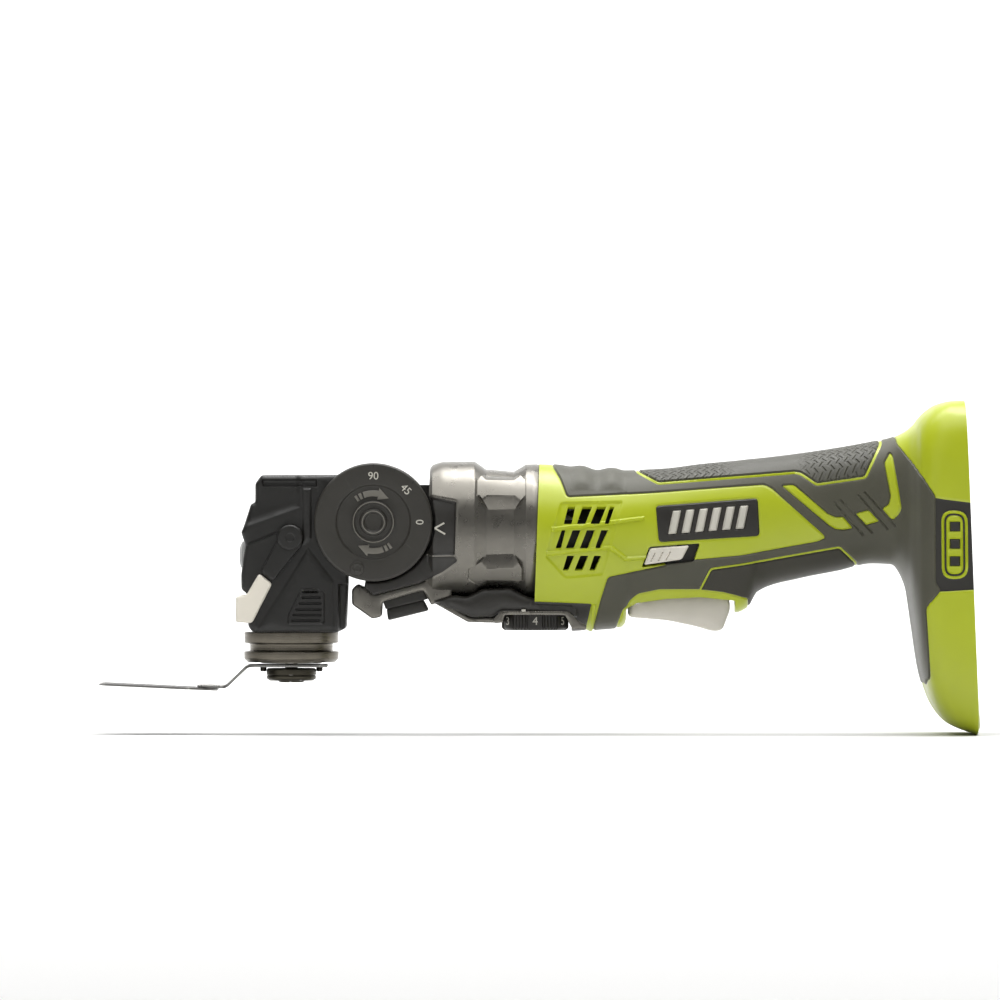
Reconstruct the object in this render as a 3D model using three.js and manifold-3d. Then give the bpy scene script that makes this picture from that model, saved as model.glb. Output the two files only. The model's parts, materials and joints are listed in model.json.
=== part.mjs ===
// Cordless oscillating multi-tool with a pivoting head, in millimetres, +Z up.
// The blade end points to -X and the battery foot to +X. Shapes are laid out around the head's pivot,
// which lies across the tool along Y, and the whole tool is then stood on its own base.
import * as THREE from 'three';
import { mergeVertices } from 'three/addons/utils/BufferGeometryUtils.js';
import Module from 'manifold-3d';

const wasm = await Module();
wasm.setup();

// ---- driving dimensions -------------------------------------------------------------------------
const GAP = 0.3; // air between neighbouring pieces
const FAR = 60; // reaches past any surface of the tool
const WALL = 3.2; // housing wall, with its soft skin
const SKIN = 1.6; // soft skin let into the housing
const INLAY = 1.0; // depth of plates and badges
const DRIVE_TILT = THREE.MathUtils.degToRad(3.5); // the motor's axis dips towards the foot

const DIAL_RADIUS = 20.6; // pivot discs on the head's cheeks
const YOKE_RADIUS = 19.4; // the neck's disc between the cheeks
const YOKE_HALF = 11.6; // half the neck's thickness
const CHEEK_IN = 12.1; // inner face of a head cheek
const CHEEK_OUT = 20.4; // outer face of a head cheek
const PIVOT_RADIUS = 4.6;

const SPINDLE_X = -28.9; // the spindle's axis, ahead of the pivot
const SPINDLE_RADIUS = 5;
const FLANGE_Z = -49.4; // seat of the accessory
const COLLAR_TOP = -38.8;
const BLADE_THICK = 1;
const BLADE_HALF = 15;

const MOTOR_RADIUS = 17.2;
const WHEEL_RADIUS = 11.7;
const WHEEL_X = 56.4;
const FOOT_BOTTOM = -74.2;
const FOOT_BACK = 210.4;
const BLADE_TIP = -95.8;
const BADGE_OUT = 38.6; // outer face of a foot badge

// The housing's sections: place along X, top, bottom, half width, height of the widest line,
// squareness (2 is round) and how far the section leans per millimetre of height.
const HOUSING = [
  [57, 20.3, -37.8, 24.3, -3.5, 2.1, 0.035], [63, 20, -38.2, 24.5, -3.5, 2.1, 0.035],
  [70, 18.9, -38.3, 24.4, -3.6, 2.15, 0.035], [79, 18, -37.6, 23.8, -3.6, 2.2, 0.03],
  [84.6, 17.9, -36.4, 23.2, -3.5, 2.2, 0.02], [90, 17.9, -28.4, 22.6, -3.2, 2.3, 0.01],
  [102, 18.5, -27.4, 21.4, -2.5, 2.4, 0], [114, 20, -27.1, 20.4, -2, 2.4, 0],
  [126.6, 21.2, -30.4, 19.6, -1.5, 2.4, 0], [130.8, 21.7, -29.2, 19.4, -1, 2.4, 0],
  [134, 22, -24.3, 19.2, -0.5, 2.4, 0], [149, 23.8, -19.6, 18.8, 2, 2.4, 0],
  [163, 25.9, -16.8, 18.8, 4.4, 2.5, 0], [174, 27.9, -14.3, 19.6, 6, 2.7, 0],
  [181, 29.4, -14.6, 21.6, 6, 3, 0], [186, 31.8, -22, 26.5, 2, 3.4, 0],
  [188.6, 33.8, -37, 31, -4, 4, 0], [191, 36.2, -54, 35, -9, 4.6, -0.01],
  [194.5, 39, -64.6, 37.6, -13, 5, -0.02], [199, 41.3, -70.4, 38.6, -14, 5.5, -0.03],
  [204, 42.3, -72.8, 39, -14, 6, -0.036], [208, 42.4, -74.2, 39.2, -14, 6, -0.04],
];

const GEARCASE = [
  [18.6, 19.6, -26.2, 23.2, -3, 2.2, 0.035], [24, 21.2, -27, 24.2, -3, 2.2, 0.035],
  [35.6, 21.1, -26.2, 24.2, -3, 2.2, 0.035], [40.4, 18.2, -24.4, 22.2, -3, 2.2, 0.035],
  [49, 18, -24.4, 22.2, -3, 2.2, 0.035], [52.6, 20.2, -27.6, 24.2, -3, 2.15, 0.035],
  [56.7, 20.3, -27.8, 24.3, -3.5, 2.1, 0.035],
];

// Side outlines, as X and Z.
const SIDE_GRIP = [
  [61.5, 34], [62.3, 19.6], [67.6, 8.4], [101.9, 10.5], [136.2, 13.3], [139, 12.3], [157.5, -5.3],
  [154, -7.4], [109.9, -13.3], [81.2, -18.9], [76.3, -36.4], [76, -46], [84.9, -46], [84.9, -36.4],
  [89.6, -28.9], [92.4, -26.4], [102.2, -24.2], [113.6, -24], [121.8, -24.9], [130.9, -27.3],
  [134, -46], [186, -58], [192.9, -55.3], [193.9, -54.6], [191.1, -31.2], [197.1, -23.8],
  [195, 9.5], [181.7, 29.8], [181, 45],
];
const TOP_PAD = [
  [92, 34], [93.1, 17.7], [99.4, 14.2], [148.8, 17.7], [154, 14], [170.8, 16.5], [176.1, 27.8], [176, 45],
];
const NAME_PLATE = [[98.6, 5.8], [133.3, 8.4], [134.4, -4.2], [99.4, -6.6]];
const FOOT_BADGE = [[197.4, 5.2], [206.2, 5.2], [206.6, -20], [197.8, -20]];
const LOCK_SLOT = [[93.4, -9], [113.6, -7.9], [111.6, -14.2], [91.4, -16]];
const LOCK_BUTTON = [[96.4, -9.5], [109.9, -8.7], [108.5, -13.4], [94.4, -15.1]];
const TRIGGER = [
  [88.9, -29], [88.8, -33.2], [102.2, -34.3], [112, -36.3], [118.5, -38.2], [121.8, -37.8],
  [124.6, -30.5], [124.4, -25.4], [104, -23.4], [91, -24.4],
];
const CHIN = [
  [21.9, -28.2], [28, -25.8], [32.6, -26], [38.2, -23.2], [47.3, -23.9], [50.9, -27], [56, -27.4],
  [71.6, -28.8], [69, -31.2], [44.7, -31.2], [41.8, -33.1], [34.2, -33.3],
];
const BELLY_TRIM = [[22, -29.5], [33.4, -34], [41.9, -33.8], [43.9, -31.8], [44.2, -35.3], [32.9, -34.8]];
const LATCH_BRACKET = [
  [-8, -23], [-8, -28.4], [-0.4, -33.8], [3.6, -32.8], [3.6, -28.8], [19, -25.2], [20.2, -29],
  [21.4, -28.4], [27.4, -26.2], [27.4, -15.2], [20.6, -13.2], [18.8, -20.8], [0, -25.2], [-3, -23.4],
];
const RELEASE_BUTTON = [[4.4, -29.5], [16.9, -26.6], [19.2, -30.9], [5, -34.4]];
const RELEASE_POCKET = [[3.2, -26.4], [17.4, -23.4], [20.2, -31.2], [4.4, -35.2]]; // room for its travel
const HEAD_BODY = [
  [-42.7, 6.3], [-45.4, -2.1], [-46.1, -3.5], [-44.6, -8], [-45.4, -13], [-46.1, -18.4], [-46, -23.4],
  [-44, -25], [-43.6, -36.4], [-42, -38.4], [-12.6, -38.4], [-9.6, -37], [-9, -22], [-12, -13], [-12, 6],
  [-13.4, 13.4], [-13.8, 16.4], [-39, 16.4], [-41.2, 13.4], [-41.2, 6.9],
];
const ARM_COVER = [
  [-33.3, -6.3], [-36, -11.2], [-39.4, -17.2], [-34.9, -20.8], [-24.8, -8.2], [-25.4, -3.4], [-29, -1.4],
  [-32.6, -3.4],
];
const NOSE_SIDE = [
  [-39.8, -17.8], [-44.2, -25.4], [-47.8, -25.8], [-48, -34.8], [-42.2, -35.2], [-35.2, -21.4],
];
const BLADE_HOLDER = [
  [-16.1, 0], [-43.9, 0], [-51.6, -7.4], [-61.6, -7], [-61.6, -6], [-51.9, -6.4], [-44.3, 1], [-16.1, 1],
];

// ---- solids -------------------------------------------------------------------------------------
function solid(shape) {
  if (!(shape instanceof THREE.BufferGeometry)) return shape;
  const bare = shape.clone();
  bare.deleteAttribute('normal');
  bare.deleteAttribute('uv');
  const merged = mergeVertices(bare, 1e-4);
  return new wasm.Manifold(new wasm.Mesh({
    numProp: 3,
    vertProperties: new Float32Array(merged.attributes.position.array),
    triVerts: new Uint32Array(merged.index.array),
  }));
}

const cut = (body, ...tools) => tools.reduce((rest, tool) => rest.subtract(solid(tool)), solid(body));
const join = (...parts) => parts.slice(1).reduce((all, part) => all.add(solid(part)), solid(parts[0]));
const meet = (a, b) => solid(a).intersect(solid(b));

function piece(parent, name, shape, material) {
  const { vertProperties, triVerts } = solid(shape).getMesh();
  const geometry = new THREE.BufferGeometry();
  geometry.setAttribute('position', new THREE.BufferAttribute(vertProperties, 3));
  geometry.setIndex(new THREE.BufferAttribute(triVerts, 1));
  geometry.computeVertexNormals();
  const mesh = new THREE.Mesh(geometry, material);
  mesh.name = name;
  parent.add(mesh);
  return mesh;
}

// A plate with the given side outline, from one Y to another.
function plate(outline, y0, y1) {
  const shape = new THREE.Shape(outline.map(([x, z]) => new THREE.Vector2(x, z)));
  const depth = Math.abs(y1 - y0);
  return new THREE.ExtrudeGeometry(shape, { depth, bevelEnabled: false, curveSegments: 12 })
    .rotateX(Math.PI / 2)
    .translate(0, Math.max(y0, y1), 0);
}

function box([x0, x1], [y0, y1], [z0, z1]) {
  return new THREE.BoxGeometry(x1 - x0, y1 - y0, z1 - z0)
    .translate((x0 + x1) / 2, (y0 + y1) / 2, (z0 + z1) / 2);
}

// A round bar along X, Y or Z between two stations, centred on the other two coordinates.
function bar(axis, radius, from, to, centre = [0, 0], sides = 20) {
  const shape = new THREE.CylinderGeometry(radius, radius, Math.abs(to - from), sides);
  const middle = (from + to) / 2;
  if (axis === 'x') return shape.rotateZ(Math.PI / 2).translate(middle, centre[0], centre[1]);
  if (axis === 'y') return shape.translate(centre[0], middle, centre[1]);
  return shape.rotateX(Math.PI / 2).translate(centre[0], centre[1], middle);
}

const tube = (axis, outer, inner, from, to, centre, sides) => cut(
  bar(axis, outer, from, to, centre, sides),
  bar(axis, inner, Math.min(from, to) - 1, Math.max(from, to) + 1, centre, sides),
);

// A turned piece about Z, from a profile of radius and height.
function turned(profile, sides = 28) {
  return new THREE.LatheGeometry(profile.map(([r, z]) => new THREE.Vector2(r, z)), sides)
    .rotateX(Math.PI / 2);
}

// A skin through sections along X. Each section is half round at squareness 2 and nearly a
// rectangle at 6, and its upper and lower halves may differ in height.
function loft(sections, inset = 0, sides = 20) {
  const points = [];
  for (const [x, top, bottom, half, axis, square, lean] of sections) {
    for (let i = 0; i < sides; i += 1) {
      const angle = (2 * Math.PI * i) / sides;
      const across = Math.cos(angle);
      const up = Math.sin(angle);
      const rise = (up > 0 ? top - axis : axis - bottom) - inset;
      const y = (half - inset) * Math.sign(across) * Math.abs(across) ** (2 / square);
      const z = rise * Math.sign(up) * Math.abs(up) ** (2 / square);
      points.push(x + lean * z, y, axis + z);
    }
  }
  const faces = [];
  for (let k = 0; k + 1 < sections.length; k += 1) {
    for (let i = 0; i < sides; i += 1) {
      const a = k * sides + i;
      const b = k * sides + ((i + 1) % sides);
      faces.push(a, b, a + sides, b, b + sides, a + sides);
    }
  }
  const last = (sections.length - 1) * sides;
  for (let i = 1; i + 1 < sides; i += 1) {
    faces.push(0, i + 1, i, last, last + i, last + i + 1);
  }
  const geometry = new THREE.BufferGeometry();
  geometry.setAttribute('position', new THREE.Float32BufferAttribute(points, 3));
  geometry.setIndex(faces);
  return geometry;
}

// The same sections with the first and last moved outwards, to cut right through both ends.
function throughEnds(sections, reach = 5) {
  const last = sections.length - 1;
  const shift = (i) => (i === 0 ? -reach : i === last ? reach : 0);
  return sections.map(([x, ...rest], i) => [x + shift(i), ...rest]);
}

// The same outline moved outwards by a distance, or inwards when it is negative.
function grown(outline, distance) {
  const points = outline.map(([x, z]) => new THREE.Vector2(x, z));
  const turn = THREE.ShapeUtils.area(points) > 0 ? 1 : -1;
  return points.map((here, i) => {
    const before = points[(i + points.length - 1) % points.length];
    const after = points[(i + 1) % points.length];
    const a = here.clone().sub(before).normalize();
    const b = after.clone().sub(here).normalize();
    const normal = new THREE.Vector2(a.y + b.y, -a.x - b.x).multiplyScalar(turn).normalize();
    const stretch = Math.max(0.4, normal.dot(new THREE.Vector2(a.y, -a.x).multiplyScalar(turn)));
    return [here.x + (normal.x * distance) / stretch, here.y + (normal.y * distance) / stretch];
  });
}

// The half of a solid on one side of the tool's middle plane.
const halfOf = (body, side) => meet(
  body,
  box([-200, 300], side < 0 ? [-100, -GAP / 2] : [GAP / 2, 100], [-150, 100]),
);
const sideName = (side) => (side < 0 ? 'left' : 'right');
const SIDES = [-1, 1];

// ---- materials ----------------------------------------------------------------------------------
const finish = (color, roughness, metalness = 0) =>
  new THREE.MeshStandardMaterial({ color, roughness, metalness });
const green = finish(0xb9c63c, 0.42);
const softGrey = finish(0x5d5c52, 0.8);
const black = finish(0x26241f, 0.55);
const dialBlack = finish(0x3a3833, 0.6);
const silver = finish(0xb4b1a8, 0.38, 0.85);
const paleGrey = finish(0xaaa69a, 0.5);
const steel = finish(0x9b978c, 0.3, 1);
const darkSteel = finish(0x3a3830, 0.35, 1);
const lens = finish(0xe8e8e4, 0.2);
const copper = finish(0xb56a3a, 0.4, 1);
const board = finish(0x2c5a34, 0.6);

// ---- housing ------------------------------------------------------------------------------------
const outer = loft(HOUSING);
const beneathSkin = loft(throughEnds(HOUSING), SKIN);
const skinFloor = loft(throughEnds(HOUSING), SKIN - GAP);
const hollow = loft(throughEnds(HOUSING), WALL);

const SCREWS = [[76.8, -29.4], [132, 11], [142, -13.6]];
const TRIGGER_WELL = box([86.6, 127], [-10.9, 10.9], [-46, -14]);
const VENT_ROWS = [[67, 2.8, 8.4], [66, -5.6, 0], [67.6, -13.4, -8.4]];

// One row of slanted slots through both sides of the barrel.
function vents() {
  const slots = VENT_ROWS.flatMap(([x, low, high]) => [0, 1, 2, 3].map((k) => plate([
    [x + 4.3 * k, low], [x + 4.3 * k + 1.8, low], [x + 4.3 * k + 4.4, high], [x + 4.3 * k + 2.6, high],
  ], -FAR, FAR)));
  const keep = box([0, 100], [-14, 14], [-40, 40]);
  return cut(join(...slots), keep);
}

function housingShell(side) {
  const recess = join(
    plate(SIDE_GRIP, -FAR, FAR), plate(TOP_PAD, -FAR, FAR),
  );
  const y = side * FAR;
  const shell = cut(
    outer, cut(recess, beneathSkin), hollow, vents(),
    plate([[50, -50], [50, -28.3], [71.9, -28.9], [69.8, -32], [69.8, -50]], -FAR, FAR),
    cut(plate(grown(NAME_PLATE, GAP), 0, y), loft(throughEnds(HOUSING), INLAY + GAP)),
    plate(grown(FOOT_BADGE, GAP), side * (BADGE_OUT - INLAY - GAP), y),
    TRIGGER_WELL,
    ...SCREWS.map(([x, z]) => bar('y', 2, -FAR, 15, [x, z], 12)),
    ...SCREWS.map(([x, z]) => bar('y', 3.4, 13.6, FAR, [x, z], 16)),
  );
  const half = halfOf(shell, side);
  return side < 0 ? cut(half, plate(LOCK_SLOT, -FAR, -8)) : half;
}

function housingScrew([x, z]) {
  return join(bar('y', 1.6, 4, 14.4, [x, z], 10), bar('y', 3, 14.2, 16.4, [x, z], 14));
}

function sideGrip(side) {
  const skin = cut(outer, skinFloor, plate(grown(TOP_PAD, GAP), -FAR, FAR));
  const edge = halfOf(meet(skin, plate(grown(SIDE_GRIP, -GAP), -FAR, FAR)), side);
  return cut(edge, TRIGGER_WELL, ...SCREWS.map(([x, z]) => bar('y', 3.6, 0, FAR, [x, z], 16)));
}

const topGripPad = () => meet(cut(outer, skinFloor), plate(grown(TOP_PAD, -GAP / 2), -FAR, FAR));

const namePlate = (side) => meet(
  cut(outer, loft(throughEnds(HOUSING), INLAY)), plate(NAME_PLATE, side * 8, side * FAR),
);
const footBadge = (side) => plate(FOOT_BADGE, side * (BADGE_OUT - INLAY), side * BADGE_OUT);

// ---- gear housing, neck and latch ---------------------------------------------------------------
const swing = (radius, half) => bar('y', radius, -half, half, [0, 0], 32);

function gearHousing() {
  const inside = loft([[25, 17.6, -23.4, 20.4, -3, 2.2, 0], [60, 17.6, -23.4, 20.4, -3, 2.1, 0]]);
  const ends = loft(throughEnds(GEARCASE), WALL);
  return cut(
    loft(GEARCASE), meet(inside, ends), swing(DIAL_RADIUS + 0.8, FAR), bar('x', 15, 50, 70, [0, -3.3]),
    box([10, 30.6], [-YOKE_HALF - GAP, YOKE_HALF + GAP], [-13.3, 13.3]),
  );
}

// The yoke is hollow, and open at the front and top where the head's drive swings through it.
function neckYoke() {
  const fan = [[0, 0]];
  for (let degrees = 44; degrees <= 220; degrees += 11) {
    const angle = THREE.MathUtils.degToRad(degrees);
    fan.push([30 * Math.cos(angle), 30 * Math.sin(angle)]);
  }
  const inner = 9;
  return cut(
    join(swing(YOKE_RADIUS, YOKE_HALF), box([4, 30.3], [-YOKE_HALF, YOKE_HALF], [-13, 13])),
    bar('y', 14.6, -inner, inner, [0, 0], 32),
    plate(fan, -inner, inner),
    box([0, 40], [-7.6, 7.6], [-8, 8]),
    bar('y', PIVOT_RADIUS + 0.1, -FAR, FAR, [0, 0], 24),
  );
}

const HALF_LATCH = 13.6;
function latchBracket() {
  const pocket = plate(RELEASE_POCKET, -9.2, 9.2);
  const well = box([7.4, 16.6], [-7, 7], [-30, -21.6]);
  return cut(
    plate(LATCH_BRACKET, -HALF_LATCH, HALF_LATCH), pocket, well, swing(DIAL_RADIUS + 0.8, FAR),
    loft(GEARCASE, -GAP), box([20, 32], [-HALF_LATCH, HALF_LATCH], [-22, 0]),
  );
}

const releaseButton = () => cut(
  join(plate(RELEASE_BUTTON, -8.8, 8.8), box([8, 16], [-6, 6], [-30.6, -27.6])),
  bar('z', 2.2, -31.5, -20, [12, 0], 16),
);

const releaseSpring = () => tube('z', 1.9, 1.2, -31.2, -25.4, [12, 0], 14);

// ---- chin, speed wheel and board ----------------------------------------------------------------
const CHIN_HALF = 16;
const chinCover = () => cut(
  plate(CHIN, -CHIN_HALF, CHIN_HALF), loft(GEARCASE, -GAP), box([48, 64.5], [-9, 9], [-30.2, -20]),
  bar('z', 2.5, -FAR, 0, [WHEEL_X, 0], 16), box([50, 80], [-FAR, FAR], [-29.3, 0]),
  plate(grown(LATCH_BRACKET, GAP), -HALF_LATCH - GAP, HALF_LATCH + GAP),
);
const bellyTrim = () => plate(BELLY_TRIM, -14, 14);
const speedBoard = () => join(
  box([49, 63.5], [-8, 8], [-29.9, -28.9]), bar('z', 3.4, -29, -28.2, [WHEEL_X, 0], 16),
);

function speedWheel() {
  const notches = Array.from({ length: 12 }, (_, i) => {
    const angle = (i * Math.PI) / 6;
    return bar('z', 0.5, -36.6, -33, [WHEEL_RADIUS * Math.cos(angle), WHEEL_RADIUS * Math.sin(angle)], 5);
  });
  return join(cut(bar('z', WHEEL_RADIUS, -37.8, -31.6, [0, 0], 36), ...notches),
    bar('z', 2, -31.7, -30.3, [0, 0], 16));
}

// ---- motor and gears, along the drive line ------------------------------------------------------
// A bevel gear whose teeth run to the origin, with its axis along X.
function bevel(teeth, pitchRadius, distance, depth, reach = 1) {
  const pitch = (2 * Math.PI) / teeth;
  const module = (2 * pitchRadius) / teeth;
  const tip = pitchRadius + 0.72 * module * reach;
  const root = pitchRadius - 1.1 * module;
  const profile = [[root, 0.3], [tip, 0.42], [tip, 0.58], [root, 0.7]];
  const rings = [1, 1 - depth].map((scale) => {
    const ring = [];
    for (let t = 0; t < teeth; t += 1) {
      for (const [radius, part] of profile) {
        const angle = (t + part - 0.5) * pitch;
        ring.push([distance * scale, radius * scale * Math.cos(angle), radius * scale * Math.sin(angle)]);
      }
    }
    return ring;
  });
  const count = rings[0].length;
  const points = [...rings.flat(), [distance, 0, 0], [distance * (1 - depth), 0, 0]].flat();
  const faces = [];
  for (let i = 0; i < count; i += 1) {
    const j = (i + 1) % count;
    faces.push(count + i, j + count, i, count + j, j, i);
    faces.push(2 * count, i, j, 2 * count + 1, count + j, count + i);
  }
  const geometry = new THREE.BufferGeometry();
  geometry.setAttribute('position', new THREE.Float32BufferAttribute(points, 3));
  geometry.setIndex(faces);
  return geometry;
}

const PINION_TEETH = 12;
const IDLER_TEETH = 16;
const IDLER_PITCH = 8;
const PINION_PITCH = (IDLER_PITCH * PINION_TEETH) / IDLER_TEETH;

function driveLine() {
  const line = new THREE.Group();
  line.rotation.y = DRIVE_TILT;
  piece(line, 'drive_pinion', cut(bevel(PINION_TEETH, PINION_PITCH, IDLER_PITCH, 0.3),
    bar('x', 2.8, 0, 20, [0, 0], 20)), steel);
  piece(line, 'rotor', join(bar('x', 2.5, 5.8, 110.4, [0, 0], 20), bar('x', 12, 69, 96, [0, 0], 24),
    bar('x', 6, 98, 104, [0, 0], 20)), darkSteel);
  const blades = Array.from({ length: 8 }, (_, i) =>
    box([56.5, 61], [-0.8, 0.8], [5, 14]).rotateX((i * Math.PI) / 4));
  piece(line, 'cooling_fan', cut(join(bar('x', 14, 60.8, 62.2), bar('x', 5.4, 56.5, 61), ...blades),
    bar('x', 2.8, 0, 70, [0, 0], 20)), black);
  piece(line, 'motor_can', cut(bar('x', MOTOR_RADIUS, 65, 106), bar('x', MOTOR_RADIUS - 1.4, 60, 104.6),
    bar('x', 5.8, 60, 120, [0, 0], 20)), steel);
  piece(line, 'field_magnet', tube('x', MOTOR_RADIUS - 1.7, 12.6, 68, 98), darkSteel);
  piece(line, 'motor_mount', tube('x', 16.8, 8.3, 51.5, 54.8, [0, 0]), silver);
  piece(line, 'front_bearing', tube('x', 8, 2.8, 51, 55, [0, 0], 24), steel);
  piece(line, 'rear_bearing', tube('x', 5.5, 2.8, 105, 109, [0, 0], 20), steel);
  return line;
}

function idlerGear() {
  const hub = bar('x', 4.6, PINION_PITCH - 0.1, 8.4, [0, 0], 20);
  const halfTooth = Math.PI / IDLER_TEETH;
  const teeth = bevel(IDLER_TEETH, IDLER_PITCH, PINION_PITCH, 0.3).rotateX(DRIVE_TILT + halfTooth);
  const gear = join(teeth, hub);
  return cut(gear, bar('x', 2.6, 0, 20, [0, 0], 16));
}

// ---- switch, trigger, battery terminals ---------------------------------------------------------
const switchBody = () => box([107.8, 130.5], [-8.6, 8.6], [-21.6, -13.6]);
const HINGE = [91.6, -27.4];
const trigger = () => cut(plate(TRIGGER, -10.2, 10.2), bar('y', 1.8, -FAR, FAR, HINGE, 16),
  box([94, 121.4], [-8.4, 8.4], [-31, -20]));
const triggerPin = () => bar('y', 1.5, -10.7, 10.7, HINGE, 14);
const lockSlide = () => join(plate(LOCK_BUTTON, -22.2, -19.4), plate(grown(LOCK_BUTTON, -1.6), -19.6, -17.4));

const terminalBlock = () => cut(box([146, 152], [-12, 12], [-8, 14]),
  box([144, 160], [-8.2, -6.4], [-3, 9]), box([144, 160], [6.4, 8.2], [-3, 9]));
const contact = (y) => box([142, 166], [y - 0.6, y + 0.6], [-2.6, 8.6]);

function dockPlate() {
  const front = 197;
  const thick = 2.4;
  const filled = meet(loft(HOUSING, WALL + GAP), box([front, front + thick], [-FAR, FAR], [-2 * FAR, FAR]));
  return cut(filled, box([front - thick, front + 2 * thick], [-14.5, 14.5], [-10, 21]));
}

// ---- head ---------------------------------------------------------------------------------------
const LENS_SEAT = [[-52, -5.6], [-42.6, -5.6], [-42.6, -17.4], [-52, -17.4]];

function headShell(side) {
  const cheek = join(plate(HEAD_BODY, -CHEEK_OUT, CHEEK_OUT), swing(DIAL_RADIUS, CHEEK_OUT));
  const chamber = join(
    box([-41.8, -21.8], [-13, 13], [-36, 3]), bar('z', 9.3, 2, 14.3, [SPINDLE_X, 0]),
    bar('z', 12.4, -50, -35, [SPINDLE_X, 0]),
  );
  const solidHead = cut(
    cheek, chamber, swing(DIAL_RADIUS + GAP, CHEEK_IN), box([-26, -16], [-9, 9], [-10, 10]),
    plate(LENS_SEAT, -13, 13), bar('y', PIVOT_RADIUS + GAP, -FAR, FAR),
    plate([[-12, -12], [-12, 12], [30, 30], [30, -30]], -CHEEK_IN, CHEEK_IN),
    box([-60, -45.4], [-FAR, FAR], [-60, -24.6]),
  );
  return halfOf(solidHead, side);
}

const dialDisc = (side) => cut(
  bar('y', DIAL_RADIUS, side * (CHEEK_OUT + GAP), side * 22.6, [0, 0], 32),
  tube('y', 12.6, 7.2, side * 21.8, side * 30, [0, 0], 24),
  bar('y', PIVOT_RADIUS + GAP, -FAR, FAR, [0, 0], 24),
);

const pivotBolt = (side) => join(
  bar('y', 6.8, side * 22.9, side * 23.9, [0, 0], 28),
  bar('y', PIVOT_RADIUS, side * 9.2, side * 23, [0, 0], 24),
);

const armCover = (side) => join(
  plate(ARM_COVER, side * (CHEEK_OUT + GAP), side * 21.9),
  bar('y', 4.2, side * (CHEEK_OUT + GAP), side * 22.4, [-29, -5.3], 24),
);

const noseGuard = () => join(
  plate(NOSE_SIDE, -21.9, -CHEEK_OUT - GAP), plate(NOSE_SIDE, CHEEK_OUT + GAP, 21.9),
  box([-47.9, -45.7], [-21.9, 21.9], [-34.6, -26]),
);

const ledLens = () => plate(
  [[-42.9, -6], [-45.6, -6.6], [-46.6, -9], [-46.6, -14.4], [-45.6, -16.8], [-42.9, -17]], -12.6, 12.6,
);

function collarRing() {
  const profile = [
    [12.1, -49], [15.4, -49], [16.6, -47.8], [16.6, -45.2], [14.4, -44.9], [14.4, -42.6], [16.4, -42.2],
    [16.4, COLLAR_TOP], [12.1, COLLAR_TOP], [12.1, -49],
  ];
  return turned(profile);
}

function eccentricBracket() {
  const web = box([-19.6, -17.8], [-8.6, 8.6], [-9.4, 9.4]);
  const arms = [1, -1].map((s) => box([-18.4, -9.8], [-4, 4], s < 0 ? [-8.8, -6.2] : [6.2, 8.8]));
  return cut(join(web, ...arms, bar('x', 7.6, -13.4, -9.8)), bar('x', 2.75, -30, 0, [0, 0], 20),
    box([-30, -14.8], [-7.6, 7.6], [-5.4, 5.4]));
}

// The head's bevel gear turns with the eccentric shaft. Its teeth are kept clear of the idler's.
function eccentricShaft() {
  const offCentre = 0.4;
  const gear = bevel(PINION_TEETH, PINION_PITCH - 1, IDLER_PITCH + 1.2, 0.2).rotateZ(Math.PI);
  return join(gear, bar('x', 2.5, -19.8, -8, [0, 0], 20), bar('x', 3.95, -18.9, -15.2, [offCentre, 0], 24));
}

// ---- spindle group, about the spindle's own axis -------------------------------------------------
const spindle = () => cut(join(bar('z', SPINDLE_RADIUS, FLANGE_Z, 13.9), bar('z', 10.6, FLANGE_Z, -48)),
  bar('z', 2.6, -60, -30, [0, 0], 16));

const driveFork = () => {
  const arms = SIDES.map((s) => box([5.6, 13.6], s < 0 ? [-7, -4.9] : [4.9, 7], [-2.4, 2.4]));
  return cut(join(bar('z', 8, -2.4, 2.4), ...arms), bar('z', SPINDLE_RADIUS + GAP, -9, 9));
};

const bladeZ = FLANGE_Z - GAP - BLADE_THICK;
const bladeHolder = () => {
  const outline = BLADE_HOLDER.map(([x, z]) => [x - SPINDLE_X, z + bladeZ]);
  return cut(plate(outline, -10.4, 10.4), bar('z', 3.2, -60, -40, [0, 0], 20));
};

function sawBlade() {
  const back = -54.6 - SPINDLE_X;
  const tip = BLADE_TIP - SPINDLE_X;
  const teeth = 16;
  const pitch = (2 * BLADE_HALF) / teeth;
  const shape = new THREE.Shape();
  shape.moveTo(back, -10.4);
  shape.lineTo(back - 3, -10.4);
  shape.lineTo(back - 9, -BLADE_HALF);
  for (let i = 0; i < teeth; i += 1) {
    shape.lineTo(tip + 1.6, -BLADE_HALF + pitch * i + 0.01);
    shape.lineTo(tip, -BLADE_HALF + pitch * (i + 0.5));
  }
  shape.lineTo(tip + 1.6, BLADE_HALF);
  shape.lineTo(back - 9, BLADE_HALF);
  shape.lineTo(back - 3, 10.4);
  shape.lineTo(back, 10.4);
  const slope = Math.atan2(1.9, 41);
  return new THREE.ExtrudeGeometry(shape, { depth: 0.8, bevelEnabled: false })
    .translate(-back, 0, 0)
    .rotateY(slope)
    .translate(back, 0, bladeZ - 8.2);
}

const clampWasher = () => cut(
  join(bar('z', 8.7, bladeZ - 4.4, bladeZ - GAP), bar('z', 7.4, bladeZ - 4.9, bladeZ - 4.3)),
  bar('z', 2.6, -70, -40, [0, 0], 20), bar('z', 5, -70, bladeZ - 3, [0, 0], 24),
);
const clampBolt = () => cut(
  join(bar('z', 2.2, bladeZ - 4, -36, [0, 0], 16), bar('z', 4.6, bladeZ - 5.4, bladeZ - 3.3, [0, 0], 24)),
  bar('z', 2, bladeZ - 7, bladeZ - 4.4, [0, 0], 6),
);

// ---- assembly -----------------------------------------------------------------------------------
const tool = new THREE.Group();

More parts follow.
